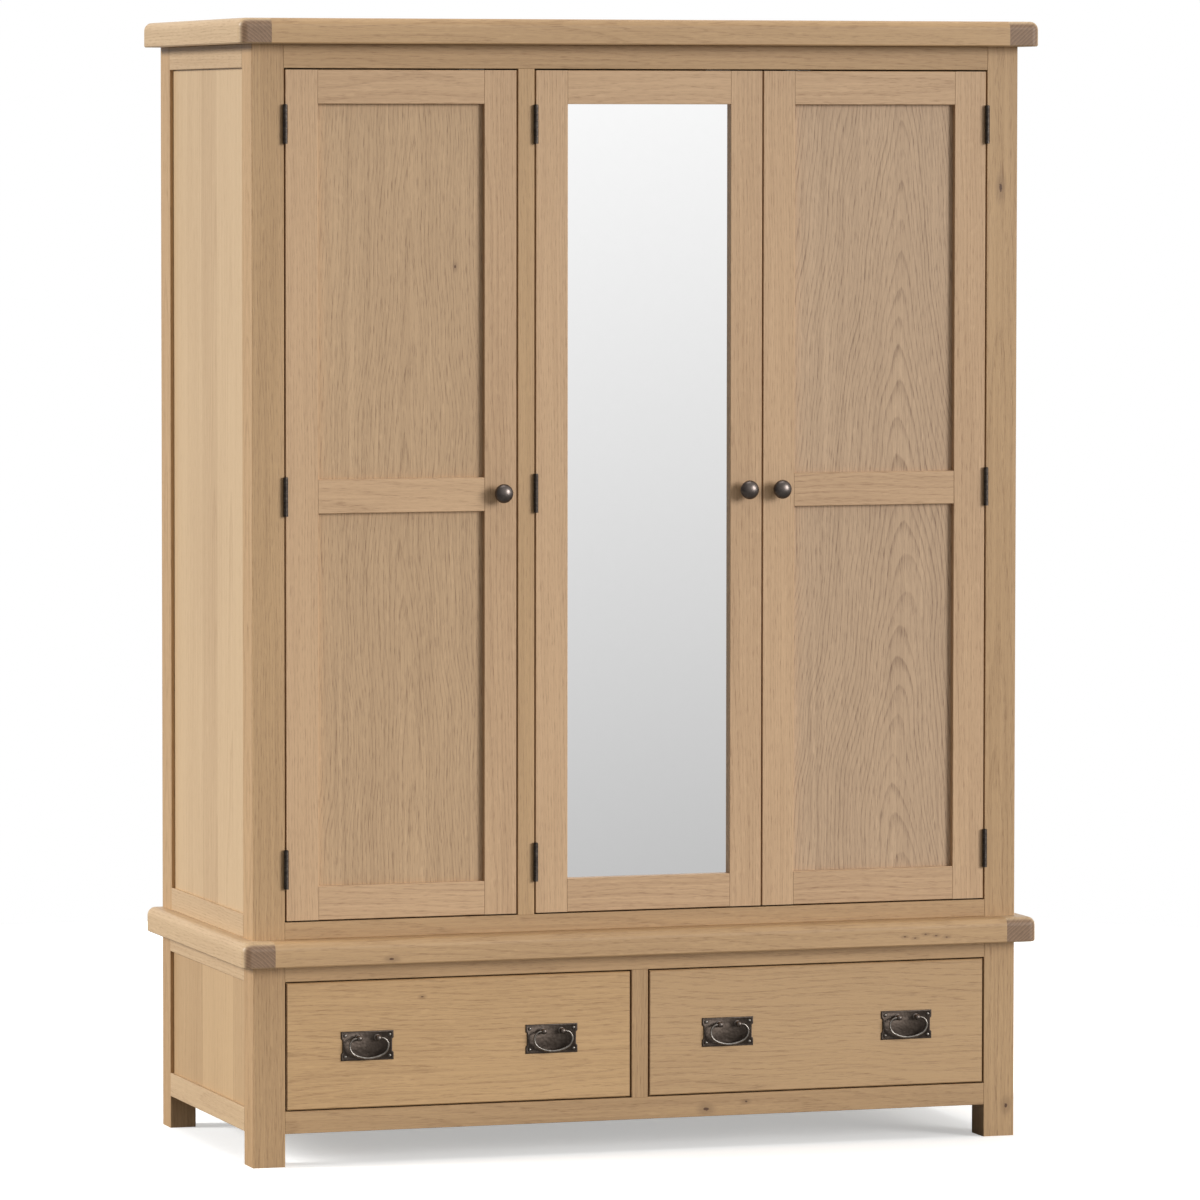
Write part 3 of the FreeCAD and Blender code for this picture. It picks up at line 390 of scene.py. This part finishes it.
def oak(name, grain, tone, seed, centre=(0, 0, 0), knots=(), **look):
    """Lacquered oak whose grain runs along one axis, with the trunk's heart behind a centre."""
    material, shader, surface = blank_material(name)
    coordinates = shader.make("ShaderNodeTexCoord").outputs
    moved = shader.make("ShaderNodeMapping")
    shader.feed(moved.inputs["Vector"], coordinates["Object"])
    moved.inputs["Location"].default_value = [-value for value in centre]
    place, facing = shader.split(moved.outputs[0]), shader.split(coordinates["Normal"])
    order = GRAIN_ORDER[grain]
    figure = place_group(
        shader, OAK_FIGURE, Vector=shader.join(*(place[index] for index in order)),
        Normal=shader.join(*(facing[index] for index in order)), Seed=seed, End=END_GRAIN,
        Pale=TONES[tone]["pale"], Deep=TONES[tone]["deep"],
        **{word.title(): value for word, value in look.items()})
    colour = figure["Color"]
    for spot, radius, stretch in knots:
        mark = place_group(shader, KNOT_MARK, Vector=coordinates["Object"], Centre=spot,
                           Radius=radius, Stretch=stretch)
        colour = shader.blend(mark["Mask"], colour, KNOT_BROWN)
    shader.feed(surface.inputs["Base Color"], colour)
    shader.feed(surface.inputs["Roughness"], figure["Roughness"])
    surface.inputs["Specular IOR Level"].default_value = 0.4
    bump(shader, surface, figure["Height"], 0.25, 0.0004)
    return material


def wood_marks():
    """Knots and dark flecks: the node they are on, with place, radius and stretch."""
    rail_low, rail_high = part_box("base_bottom_rail")
    leg_low, leg_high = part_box("base_front_legs")
    drawer_low, drawer_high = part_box("drawer_left_front")
    ledge_low, ledge_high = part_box("base_top_front")
    panel_low, panel_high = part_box("door_left_panels")
    post_low, post_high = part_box("upper_front_posts")
    rail_z = (rail_low.z + rail_high.z) / 2
    flecks = [((ledge_high.x - 0.11 - 0.019 * step, ledge_low.y, ledge_low.z + 0.013 + 0.003 * (step % 3)),
               0.0012, (2.6, 1, 1)) for step in range(5)]
    return {
        "base_bottom_rail": [((0.118, rail_low.y, rail_z - 0.006), 0.004, (1.6, 1, 1)),
                             ((0.19, rail_low.y, rail_z + 0.004), 0.0018, (2, 1, 1))],
        "base_front_legs": [((leg_high.x - 0.014, leg_low.y, 0.052), 0.0038, (1, 1, 1.6))],
        "drawer_left_front": [((drawer_low.x + 0.235, drawer_low.y, drawer_high.z - 0.03), 0.0014,
                               (2.2, 1, 1))],
        "door_left_panels": [((panel_high.x - 0.055, panel_low.y, 1.49), 0.0018, (1, 1, 2.2))],
        "upper_front_posts": [((post_high.x - 0.03, post_low.y, 1.62), 0.003, (1.2, 1, 3.5))],
        "base_top_front": [((ledge_low.x + 0.2, ledge_low.y, ledge_low.z + 0.009), 0.0024,
                            (2.4, 1, 1)), *flecks],
    }


# each look is a way of sawing: how the rings lie, how strongly they show, and how boards vary
STRAIGHT = {"ring_width": 0.005, "heart_side": 0.10, "heart_depth": 0.02, "rise": 0.012,
            "wander": 0.03, "figure": 0.17, "pores": 0.36, "cloud": 0.30, "shade": 0.13,
            "stave": 0.24, "stave_tone": 0.16}
ONE_BOARD = dict(STRAIGHT, stave=9.0)
PLAIN_SAWN = dict(STRAIGHT, ring_width=0.009, heart_side=0.035, heart_depth=0.025, rise=0.03,
                  wander=0.08, figure=0.14)
WIDE_BOARD = dict(PLAIN_SAWN, stave=9.0, cloud=0.36)
STRIPS = dict(PLAIN_SAWN, heart_side=0.05, stave=0.0712, stave_tone=0.75, figure=0.2)
ARCHED = dict(ONE_BOARD, ring_width=0.0068, heart_side=-0.03, rise=0.12, wander=0.09, figure=0.34,
              pores=0.42, cloud=0.22, shade=0.12)
SOFT_ARCHED = dict(ARCHED, rise=0.04, figure=0.22, ring_width=0.006, cloud=0.30)
VENEER = dict(STRAIGHT, heart_side=0.05, stave=0.095, stave_tone=0.30, pores=0.24, shade=0.12)
QUIET = dict(ONE_BOARD, pores=0.2, shade=0.1)

WOOD = [
    ("Z", "carcass", STRAIGHT, ["base_front_legs", "base_back_legs", "base_divider",
                                "upper_front_posts", "upper_back_stiles", "upper_mullion"]),
    ("Z", "door", STRAIGHT, ["door_left_stiles", "door_mirror_stiles", "door_right_stiles"]),
    ("X", "carcass", PLAIN_SAWN, ["base_bottom_rail", "base_top_rail", "upper_bottom_rail",
                                  "upper_top_rail"]),
    ("X", "door", PLAIN_SAWN, ["door_left_rails", "door_mirror_rails", "door_right_rails"]),
    ("X", "carcass", WIDE_BOARD, ["base_top_front", "cornice_front"]),
    ("X", "front", WIDE_BOARD, ["drawer_left_front"]),
    ("X", "carcass", STRIPS, ["drawer_right_front"]),
    ("Y on side", "side", ONE_BOARD, ["base_side_rails", "upper_side_rails", "base_top_sides",
                                      "cornice_sides"]),
    ("Z", "panel", SOFT_ARCHED, ["door_left_panels"]),
    ("Z", "cool_panel", ARCHED, ["door_right_panels"]),
    ("Z on side", "side", VENEER, ["upper_side_panels"]),
    ("Z on side", "low_side", VENEER, ["base_side_panels"]),
    ("X", "inner", QUIET, ["base_top_panel", "cornice_panel", "upper_floor", "back_rails",
                           "drawer_left_bottom", "drawer_right_bottom"]),
    ("Z on side", "inner", QUIET, ["upper_partition"]),
    ("Y on side", "inner", QUIET, ["base_partition", "drawer_runners", "drawer_left_box",
                                   "drawer_right_box"]),
    ("Z", "ply", QUIET, ["base_back_panel", "upper_back_panel", "mirror_backing"]),
]
SEED_STEP = 1.37


def dress_wood():
    """Give each wooden piece its grain direction, its cut of the tree and its tone."""
    marks = wood_marks()
    seed = 0.0
    for grain, tone, look, nodes in WOOD:
        for node in nodes:
            seed += SEED_STEP
            dress(node, oak(f"oak_{node}", grain, tone, seed, box_centre(node),
                            marks.get(node, ()), **look))


# ------------------------------------------------------------ metal, glass, plastic

def aged_metal(name, dark, bright, rubbed, hammer, smooth, relief):
    material, shader, surface = blank_material(name)
    coordinates = shader.make("ShaderNodeTexCoord").outputs["Object"]
    made = place_group(shader, AGED_METAL, Vector=coordinates, Dark=dark, Bright=bright,
                       Rubbed=rubbed, Hammer=hammer, Smooth=smooth)
    shader.feed(surface.inputs["Base Color"], made["Color"])
    shader.feed(surface.inputs["Roughness"], made["Roughness"])
    surface.inputs["Metallic"].default_value = 1.0
    bump(shader, surface, made["Height"], relief, 0.0006)
    return material


def plain_finish(name, colour, metallic, roughness, mottle=0.04):
    """A smooth factory finish with faint mottling."""
    material, shader, surface = blank_material(name)
    coordinates = shader.make("ShaderNodeTexCoord").outputs["Object"]
    cloud = shader.noise(coordinates, 60.0, 3.0)
    darker = tuple(channel * (1 - 4 * mottle) for channel in colour[:3]) + (1.0,)
    shader.feed(surface.inputs["Base Color"], shader.blend(cloud, colour, darker))
    shader.feed(surface.inputs["Roughness"], shader.ramp(cloud, 0.2, 0.8, roughness, roughness + mottle))
    surface.inputs["Metallic"].default_value = metallic
    return material


PLATE_METAL = aged_metal("pewter_plate", linear(66, 58, 52), linear(92, 83, 76), 0.35, 1.0, 0.34, 0.5)
BAIL_METAL = aged_metal("pewter_bail", linear(112, 106, 100), linear(168, 163, 157), 0.4, 0.1, 0.19, 0.08)
KNOB_METAL = aged_metal("pewter_knob", linear(92, 84, 80), linear(120, 112, 106), 0.35, 0.15, 0.20, 0.12)
STUD_METAL = aged_metal("pewter_stud", linear(104, 95, 89), linear(146, 138, 132), 0.4, 0.2, 0.30, 0.12)
HINGE_METAL = aged_metal("pewter_hinge", linear(58, 52, 48), linear(104, 97, 90), 0.45, 0.3, 0.32, 0.3)
STEEL = plain_finish("plated_steel", linear(214, 214, 216), 1.0, 0.16)
SILVERING = plain_finish("silvered_glass", linear(246, 246, 246), 1.0, 0.012, 0.004)
PLASTIC = plain_finish("catch_plastic", linear(222, 216, 204), 0.0, 0.5)


def dress_fittings():
    choices = {"hinge_frame_leaves": HINGE_METAL, "hinge_pins": HINGE_METAL,
               "door_left_hinge_leaves": HINGE_METAL, "door_mirror_hinge_leaves": HINGE_METAL,
               "door_right_hinge_leaves": HINGE_METAL, "hanging_rails": STEEL, "rail_sockets": STEEL,
               "mirror_glass": SILVERING, "door_catches": PLASTIC}
    for node, material in choices.items():
        dress(node, material)


# ------------------------------------------------------------ knobs

def knob_profile(length, radius):
    """Half outline of a turned knob from its foot out to the crown: (radius, height) pairs."""
    foot, neck = 0.60 * radius, 0.34 * radius
    head = 0.34 * length
    widest = length - head
    points = [(0, 0), (foot, 0), (foot, 0.05 * length), (foot * 0.92, 0.085 * length)]
    for step in range(1, 10):
        share = step / 9
        waist = neck + (foot * 0.88 - neck) * (1 - share) ** 2.4
        flare = (0.62 * radius - neck) * share ** 4
        points.append((waist + flare, (0.085 + 0.36 * share) * length))
    under = 0.22 * length
    for angle in range(-48, 0, 8):
        turn = math.radians(angle)
        points.append((radius * math.cos(turn), widest + under * math.sin(turn)))
    for angle in range(0, 91, 6):
        turn = math.radians(angle)
        points.append((radius * math.cos(turn), widest + head * math.sin(turn)))
    points[-1] = (0, length)
    return points


def make_knobs():
    for node, body in (("door_left_knob", "left_door"), ("door_mirror_knob", "mirror_door"),
                       ("door_right_knob", "right_door")):
        low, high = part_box(node)
        centre = (low + high) / 2
        mesh = bmesh.new()
        outward = Matrix.Translation((centre.x, high.y, centre.z)) @ Matrix.Rotation(math.pi / 2, 4, "X")
        turned_solid(mesh, knob_profile(high.y - low.y, (high.x - low.x) / 2), outward, 56)
        piece = finished(node + "_turned", mesh, KNOB_METAL, body, 50)
        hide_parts(node)


# ------------------------------------------------------------ bail handles

ROD = 2.1 * MM
SHOULDER = 12.5 * MM
CHEEK_SHARE = 0.81


def bail_path(half_width, drop, pin_from):
    """The centreline of half a bail, from the lowest point up to the stud: (across, up) pairs."""
    below = drop - SHOULDER
    cheek = below * CHEEK_SHARE
    inset = half_width - cheek
    lowest = (inset ** 2 + below ** 2 - cheek ** 2) / (2 * (below - cheek))
    sweep = math.degrees(math.atan2(lowest - below, inset))
    reach = half_width - SHOULDER
    points = arc_points((0, lowest - drop), lowest, -90, -sweep, 14)
    points += arc_points((inset, -SHOULDER), cheek, -sweep, 0, 12)[1:]
    points += arc_points((reach, -SHOULDER), SHOULDER, 0, 90, 10)[1:]
    points += [(reach - (reach - pin_from) * share, 0.0) for share in (0.35, 0.7, 1.0)]
    return points


def tube(mesh, points, radii, sides=20):
    """Rings round a line of points in the XZ plane, bridged, with closed ends."""
    rings = []
    for index, point in enumerate(points):
        before = points[max(index - 1, 0)]
        after = points[min(index + 1, len(points) - 1)]
        heading = (after - before).normalized()
        turn = heading.to_track_quat("Z", "Y").to_matrix().to_4x4()
        made = bmesh.ops.create_circle(mesh, cap_ends=index in (0, len(points) - 1), segments=sides,
                                       radius=radii[index], matrix=Matrix.Translation(point) @ turn)
        rings.append([edge for vert in made["verts"] for edge in vert.link_edges
                      if edge.other_vert(vert) in made["verts"]])
    for first, second in zip(rings, rings[1:]):
        bmesh.ops.bridge_loops(mesh, edges=list(set(first + second)))


def make_bail(node, body):
    """A bail that thickens towards its grip."""
    low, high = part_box(node)
    centre_x = (low.x + high.x) / 2
    pivot = Vector((centre_x, (low.y + high.y) / 2, high.z - ROD))
    half_width = (high.x - low.x) / 2 - ROD
    drop = pivot.z - low.z - ROD
    half = bail_path(half_width, drop, PIN_REACH)
    line = [(-x, z) for x, z in reversed(half)] + half[1:]
    points = [pivot + Vector((x, 0, z)) for x, z in line]
    radii = []
    for x, z in line:
        depth = min(1, max(0, -z / drop))
        radii.append(ROD * (0.80 + 0.20 * depth ** 0.8))
    mesh = bmesh.new()
    tube(mesh, points, radii)
    piece = finished(node + "_rod", mesh, BAIL_METAL, body, 60)
    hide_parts(node)
    return pivot


STUD_SPACING = 33 * MM
STUD_BELOW_EDGE = 11 * MM
STUD_BALL = 5 * MM
PIN_REACH = 14 * MM
PLATE = {"width": 91 * MM, "height": 49 * MM, "thickness": 2 * MM, "notch": 2.5 * MM, "ear": 12 * MM,
         "rim": 0.8 * MM, "border": 2.2 * MM, "slope": 0.7 * MM, "sunk": 0.45 * MM}
RIVET = {"inset": 7 * MM, "radius": 2.9 * MM, "height": 2 * MM}
ROOTED = 0.3 * MM


def plate_outline(width, height, notch, ear):
    """Corners of a plate whose two short sides are set in between the ears."""
    x, z = width / 2, height / 2
    step = z - ear
    right = [(x, -z), (x, -step), (x - notch, -step + notch), (x - notch, step - notch), (x, step), (x, z)]
    left = [(-a, b) for a, b in reversed(right)]
    return right + left


def make_plate(name, body, centre, back_y):
    mesh = bmesh.new()
    outline = plate_outline(PLATE["width"], PLATE["height"], PLATE["notch"], PLATE["ear"])
    verts = [mesh.verts.new((centre.x + x, back_y, centre.z + z)) for x, z in outline]
    face = mesh.faces.new(verts)
    raised = bmesh.ops.extrude_face_region(mesh, geom=[face])
    moved = [item for item in raised["geom"] if isinstance(item, bmesh.types.BMVert)]
    bmesh.ops.translate(mesh, verts=moved, vec=(0, -PLATE["thickness"], 0))
    rim = [edge for edge in mesh.edges
           if all(abs(vert.co.y - back_y + PLATE["thickness"]) < 1e-7 for vert in edge.verts)]
    soften(mesh, rim, PLATE["rim"])
    front = min(mesh.faces, key=lambda item: item.calc_center_median().y - item.calc_area())
    bmesh.ops.inset_individual(mesh, faces=[front], thickness=PLATE["border"], depth=0)
    bmesh.ops.inset_individual(mesh, faces=[front], thickness=PLATE["slope"], depth=-PLATE["sunk"])
    return finished(name, mesh, PLATE_METAL, body, 40)


def dome_profile(radius, height, steps=7):
    """A rivet head's half outline, from its foot to its crown."""
    points = [(0, 0), (radius, 0), (radius, 0.12 * height)]
    for step in range(1, steps + 1):
        angle = math.radians(90 * step / steps)
        points.append((radius * math.cos(angle), height * (0.12 + 0.88 * math.sin(angle))))
    points[-1] = (0, height)
    return points


def stud_profile(length, ball):
    """A turned stud: a collar, a waist, and a ball that the bail's pin goes into."""
    points = [(0, 0), (1.05 * ball, 0), (1.05 * ball, 0.8 * MM), (0.72 * ball, 1.6 * MM)]
    for angle in range(-50, 91, 14):
        turn = math.radians(angle)
        points.append((ball * math.cos(turn), length + ball * math.sin(turn)))
    points[-1] = (0, length + ball)
    return points


def make_rivets(name, body, centre, face_y):
    mesh = bmesh.new()
    outward = Matrix.Rotation(math.pi / 2, 4, "X")
    profile = dome_profile(RIVET["radius"], RIVET["height"])
    for sign_x in (-1, 1):
        for sign_z in (-1, 1):
            spot = (centre.x + sign_x * (PLATE["width"] / 2 - RIVET["inset"]), face_y,
                    centre.z + sign_z * (PLATE["height"] / 2 - RIVET["inset"]))
            turned_solid(mesh, profile, Matrix.Translation(spot) @ outward, 20)
    return finished(name, mesh, BAIL_METAL, body, 50)


def make_studs(name, body, pivot, face_y):
    mesh = bmesh.new()
    outward = Matrix.Rotation(math.pi / 2, 4, "X")
    profile = stud_profile(face_y - pivot.y, STUD_BALL)
    for sign in (-1, 1):
        spot = (pivot.x + sign * STUD_SPACING / 2, face_y, pivot.z)
        turned_solid(mesh, profile, Matrix.Translation(spot) @ outward, 28)
    return finished(name, mesh, STUD_METAL, body, 50)


def make_handles():
    for side in SIDES:
        drawer_body = f"{side}_drawer"
        face_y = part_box(f"drawer_{side}_front")[0].y
        for word in SIDES:
            pivot = make_bail(f"drawer_{side}_bail_{word}", f"{side}_drawer_{word}_bail")
            centre = Vector((pivot.x, face_y, pivot.z + STUD_BELOW_EDGE - PLATE["height"] / 2))
            name = f"drawer_{side}_handle_{word}"
            plate = make_plate(name + "_plate", drawer_body, centre, face_y)
            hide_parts(f"drawer_{side}_handle_plates")
            front_y = face_y - PLATE["thickness"]
            make_rivets(name + "_rivets", drawer_body, centre, front_y + ROOTED)
            make_studs(name + "_studs", drawer_body, pivot, front_y + ROOTED)


# ------------------------------------------------------------ screws, catches and pins

FACING = {"-x": Matrix.Rotation(-math.pi / 2, 4, "Y"), "+x": Matrix.Rotation(math.pi / 2, 4, "Y"),
          "-y": Matrix.Rotation(math.pi / 2, 4, "X"), "+y": Matrix.Rotation(-math.pi / 2, 4, "X")}
DOORS = (("left", "left_door"), ("mirror", "mirror_door"), ("right", "right_door"))


def slotted_screw(mesh, spot, facing, turn, radius, height):
    """A screw head: two half discs either side of a slot, on a thinner disc."""
    slot = 0.24 * radius
    place = Matrix.Translation(spot) @ FACING[facing] @ Matrix.Rotation(turn, 4, "Z")
    bmesh.ops.create_cone(mesh, cap_ends=True, segments=20, radius1=radius, radius2=radius,
                          depth=0.4 * height, matrix=place @ Matrix.Translation((0, 0, 0.2 * height)))
    for side in (-1, 1):
        half = bmesh.ops.create_cone(mesh, cap_ends=True, segments=20, radius1=radius,
                                     radius2=0.84 * radius, depth=height,
                                     matrix=Matrix.Translation((0, 0, height / 2)))["verts"]
        faces = {face for vert in half for face in vert.link_faces}
        edges = {edge for vert in half for edge in vert.link_edges}
        parted = bmesh.ops.bisect_plane(mesh, geom=[*half, *edges, *faces], clear_inner=True,
                                        plane_co=(side * slot, 0, 0), plane_no=(side, 0, 0))
        rim = [item for item in parted["geom_cut"] if isinstance(item, bmesh.types.BMEdge)]
        bmesh.ops.edgenet_fill(mesh, edges=rim)
        kept = {item for item in parted["geom"] + parted["geom_cut"]
                if isinstance(item, bmesh.types.BMVert)}
        bmesh.ops.transform(mesh, matrix=place, verts=list(kept))


HINGE_LENGTH = 64 * MM
LEAF_SETBACK = 0.5 * MM
LEAF_FACE = 0.1 * MM
LEAF_SCREWS = ((-22 * MM, 8 * MM), (0, 14 * MM), (22 * MM, 8 * MM))
LEAF_SCREW_RADIUS = 2.9 * MM
LEAF_SCREW_HEIGHT = 0.6 * MM
LEAF_SCREW_SUNK = 0.56 * MM


def make_hinge_screws():
    """Three flush screws in every hinge leaf, on the frame and on the doors."""
    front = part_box("upper_top_rail")[0].y
    axes = {joint["child"]: joint["pos_m"] for joint in frame["record"]["behaviour"]["joints"]
            if joint["type"] == "hinge"}
    on_frame = bmesh.new()
    for word, body in DOORS:
        toward_door = -1 if word == "right" else 1
        low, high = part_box(f"door_{word}_hinge_leaves")
        on_door = bmesh.new()
        for height in (low.z + HINGE_LENGTH / 2, axes[body][2], high.z - HINGE_LENGTH / 2):
            for count, (up, back) in enumerate(LEAF_SCREWS):
                for mesh, side in ((on_door, toward_door), (on_frame, -toward_door)):
                    spot = (axes[body][0] + side * (LEAF_FACE + LEAF_SCREW_SUNK),
                            front + LEAF_SETBACK + back, height + up)
                    slotted_screw(mesh, spot, "-x" if side > 0 else "+x", 0.5 + count,
                                  LEAF_SCREW_RADIUS, LEAF_SCREW_HEIGHT)
        finished(f"door_{word}_hinge_screws", on_door, HINGE_METAL, body)
    finished("frame_hinge_screws", on_frame, HINGE_METAL, "carcass")


CATCH_INSET = 70 * MM
STRIKE = {"width": 34 * MM, "height": 15 * MM, "thickness": 1.2 * MM, "below_top": 11.5 * MM}
MAGNET = {"width": 5 * MM, "height": 16 * MM, "proud": 0.8 * MM, "apart": 22 * MM}


def make_catch_parts():
    """A steel strike on the back of each door, and two magnet bars in each catch."""
    catch_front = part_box("door_catches")[0].y
    magnets = bmesh.new()
    for word, body in DOORS:
        low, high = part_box(f"door_{word}_stiles")
        x = low.x + CATCH_INSET if word == "right" else high.x - CATCH_INSET
        z = high.z - STRIKE["below_top"]
        strike = bmesh.new()
        half = Vector((STRIKE["width"] / 2, 0, STRIKE["height"] / 2))
        spot = Vector((x, high.y, z))
        added_box(strike, spot - half, spot + half + Vector((0, STRIKE["thickness"], 0)))
        soften(strike, [edge for edge in strike.edges if edge.calc_face_angle(0) > 1], 0.35 * MM, 2)
        slotted_screw(strike, (x, high.y + STRIKE["thickness"] - 0.2 * MM, z), "+y", 0.7, 3 * MM, 0.7 * MM)
        finished(f"door_{word}_strike", strike, STEEL, body)
        for side in (-1, 1):
            centre = Vector((x + side * MAGNET["apart"] / 2, catch_front, z))
            reach = Vector((MAGNET["width"] / 2, MAGNET["proud"], MAGNET["height"] / 2))
            added_box(magnets, centre - reach, centre + reach)
    soften(magnets, [edge for edge in magnets.edges if edge.calc_face_angle(0) > 1], 0.3 * MM, 2)
    finished("catch_magnets", magnets, STEEL, "carcass")


SOCKET_FLANGE = 3 * MM
SOCKET_SCREW_CIRCLE = 21.5 * MM


def make_socket_screws():
    low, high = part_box("rail_sockets")
    wall_low, wall_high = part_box("upper_partition")
    centre = (low + high) / 2
    mesh = bmesh.new()
    for x, facing in ((low.x + SOCKET_FLANGE, "+x"), (wall_low.x - SOCKET_FLANGE, "-x"),
                      (wall_high.x + SOCKET_FLANGE, "+x"), (high.x - SOCKET_FLANGE, "-x")):
        for step in range(3):
            angle = math.radians(90 + 120 * step)
            spot = (x, centre.y + SOCKET_SCREW_CIRCLE * math.cos(angle),
                    centre.z + SOCKET_SCREW_CIRCLE * math.sin(angle))
            slotted_screw(mesh, spot, facing, 0.4 + 1.3 * step, 3 * MM, 1.1 * MM)
    finished("socket_screws", mesh, STEEL, "carcass")


PIN_SPACING = 140 * MM
PIN_INSET = 7 * MM


def make_back_pins():
    """Small round-headed pins round the edge of each back panel."""
    mesh = bmesh.new()
    for node in ("base_back_panel", "upper_back_panel"):
        low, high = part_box(node)
        wide, tall = high.x - low.x - 2 * PIN_INSET, high.z - low.z - 2 * PIN_INSET
        across, up = round(wide / PIN_SPACING), round(tall / PIN_SPACING)
        spots = [(low.x + PIN_INSET + wide * step / across, z) for step in range(across + 1)
                 for z in (low.z + PIN_INSET, high.z - PIN_INSET)]
        spots += [(x, low.z + PIN_INSET + tall * step / up) for step in range(1, up)
                  for x in (low.x + PIN_INSET, high.x - PIN_INSET)]
        for x, z in spots:
            place = Matrix.Translation((x, high.y - 0.1 * MM, z)) @ FACING["+y"]
            turned_solid(mesh, dome_profile(2.4 * MM, 0.8 * MM, 4), place, 12)
    finished("back_panel_pins", mesh, STEEL, "carcass")


# ------------------------------------------------------------ floor, lights, camera

FLOOR_RADIUS = 3.5
FLOOR_WHITE = linear(250, 250, 249)
FLOOR_BOUNCE = linear(150, 148, 145)
FLOOR_GLOW = 0.42
AMBIENT_SHARE = 0.46


def make_floor():
    """A pale floor: white to the camera, and duller to everything that it lights."""
    mesh = bmesh.new()
    bmesh.ops.create_circle(mesh, cap_ends=True, segments=128, radius=FLOOR_RADIUS)
    data = bpy.data.meshes.new("floor")
    mesh.to_mesh(data)
    mesh.free()
    floor = bpy.data.objects.new("floor", data)
    bpy.context.scene.collection.objects.link(floor)
    material, shader, surface = blank_material("pale_floor")
    seen = shader.make("ShaderNodeLightPath").outputs["Is Camera Ray"]
    shader.feed(surface.inputs["Base Color"], shader.blend(seen, FLOOR_BOUNCE, FLOOR_WHITE))
    shader.feed(surface.inputs["Emission Color"], shader.blend(seen, (0, 0, 0, 1), FLOOR_WHITE))
    surface.inputs["Emission Strength"].default_value = FLOOR_GLOW
    surface.inputs["Roughness"].default_value = 0.9
    surface.inputs["Specular IOR Level"].default_value = 0.1
    data.materials.append(material)


def make_world():
    """A white studio.  The camera sees white, and everything else sees a soft graded surround:
    brighter to the right and overhead, and falling off towards the floor in front."""
    world = bpy.data.worlds.new("studio")
    world.use_nodes = True
    bpy.context.scene.world = world
    tree = world.node_tree
    tree.nodes.clear()
    shader = Shader(tree)
    right, back, up = shader.split(shader.make("ShaderNodeTexCoord").outputs["Generated"])
    fall = shader.ramp(up, -0.105, 0.006, 0.575, 1.04)
    sideways = shader.ramp(right, 0.300, 0.345, 0.02, -0.04)
    front = shader.ramp(back, -0.97, -0.90, 1.0, 0.0)
    level = shader.math("MULTIPLY_ADD", sideways, front, fall)
    level = shader.math("MULTIPLY", level, shader.ramp(right, -0.9, 0.25, 0.2, 1.0))
    paths = shader.make("ShaderNodeLightPath").outputs
    ambient = shader.make("ShaderNodeBackground")
    shader.feed(ambient.inputs["Color"], shader.join(level, level, level))
    shader.feed(ambient.inputs["Strength"], shader.ramp(paths["Is Diffuse Ray"], 0.0, 1.0, 1.0,
                                                        AMBIENT_SHARE))
    white = shader.make("ShaderNodeBackground")
    white.inputs["Color"].default_value = (1, 1, 1, 1)
    mix = shader.make("ShaderNodeMixShader")
    shader.feed(mix.inputs[0], paths["Is Camera Ray"])
    shader.feed(mix.inputs[1], ambient.outputs[0])
    shader.feed(mix.inputs[2], white.outputs[0])
    shader.feed(shader.make("ShaderNodeOutputWorld").inputs["Surface"], mix.outputs[0])


def add_sun(name, azimuth, elevation, strength, spread):
    """A soft distant light from a compass direction: 0 is the front, 90 the right."""
    light = bpy.data.lights.new(name, "SUN")
    light.energy, light.angle = strength, math.radians(spread)
    lamp = bpy.data.objects.new(name, light)
    around, above = math.radians(azimuth), math.radians(elevation)
    source = Vector((math.sin(around) * math.cos(above), -math.cos(around) * math.cos(above),
                     math.sin(above)))
    lamp.rotation_mode = "QUATERNION"
    lamp.rotation_quaternion = source.to_track_quat("Z", "Y")
    bpy.context.scene.collection.objects.link(lamp)


def make_lights():
    add_sun("key_front_right", 42, 12.5, 2.2, 26)
    add_sun("side_left", -104, 22, 3.5, 20)
    add_sun("top_soft", 20, 84, 0.7, 36)


CAMERA = {"lens": 219.3, "azimuth": 17.525, "tilt": -3.141, "shift": (0.1, -0.05),
          "place": (-3.9377, -11.8461, 1.7017)}


def make_camera():
    data = bpy.data.cameras.new("camera")
    data.lens = CAMERA["lens"]
    data.shift_x, data.shift_y = CAMERA["shift"]
    data.clip_end = 200
    camera = bpy.data.objects.new("camera", data)
    camera.location = CAMERA["place"]
    camera.rotation_euler = (math.radians(90 + CAMERA["tilt"]), 0, -math.radians(CAMERA["azimuth"]))
    bpy.context.scene.collection.objects.link(camera)
    bpy.context.scene.camera = camera


# ------------------------------------------------------------ all together

bpy.context.scene.view_settings.view_transform = "Standard"
make_camera()
make_world()
make_lights()
make_floor()
dress_wood()
dress_fittings()
make_knobs()
make_handles()
make_hinge_screws()
make_catch_parts()
make_socket_screws()
make_back_pins()
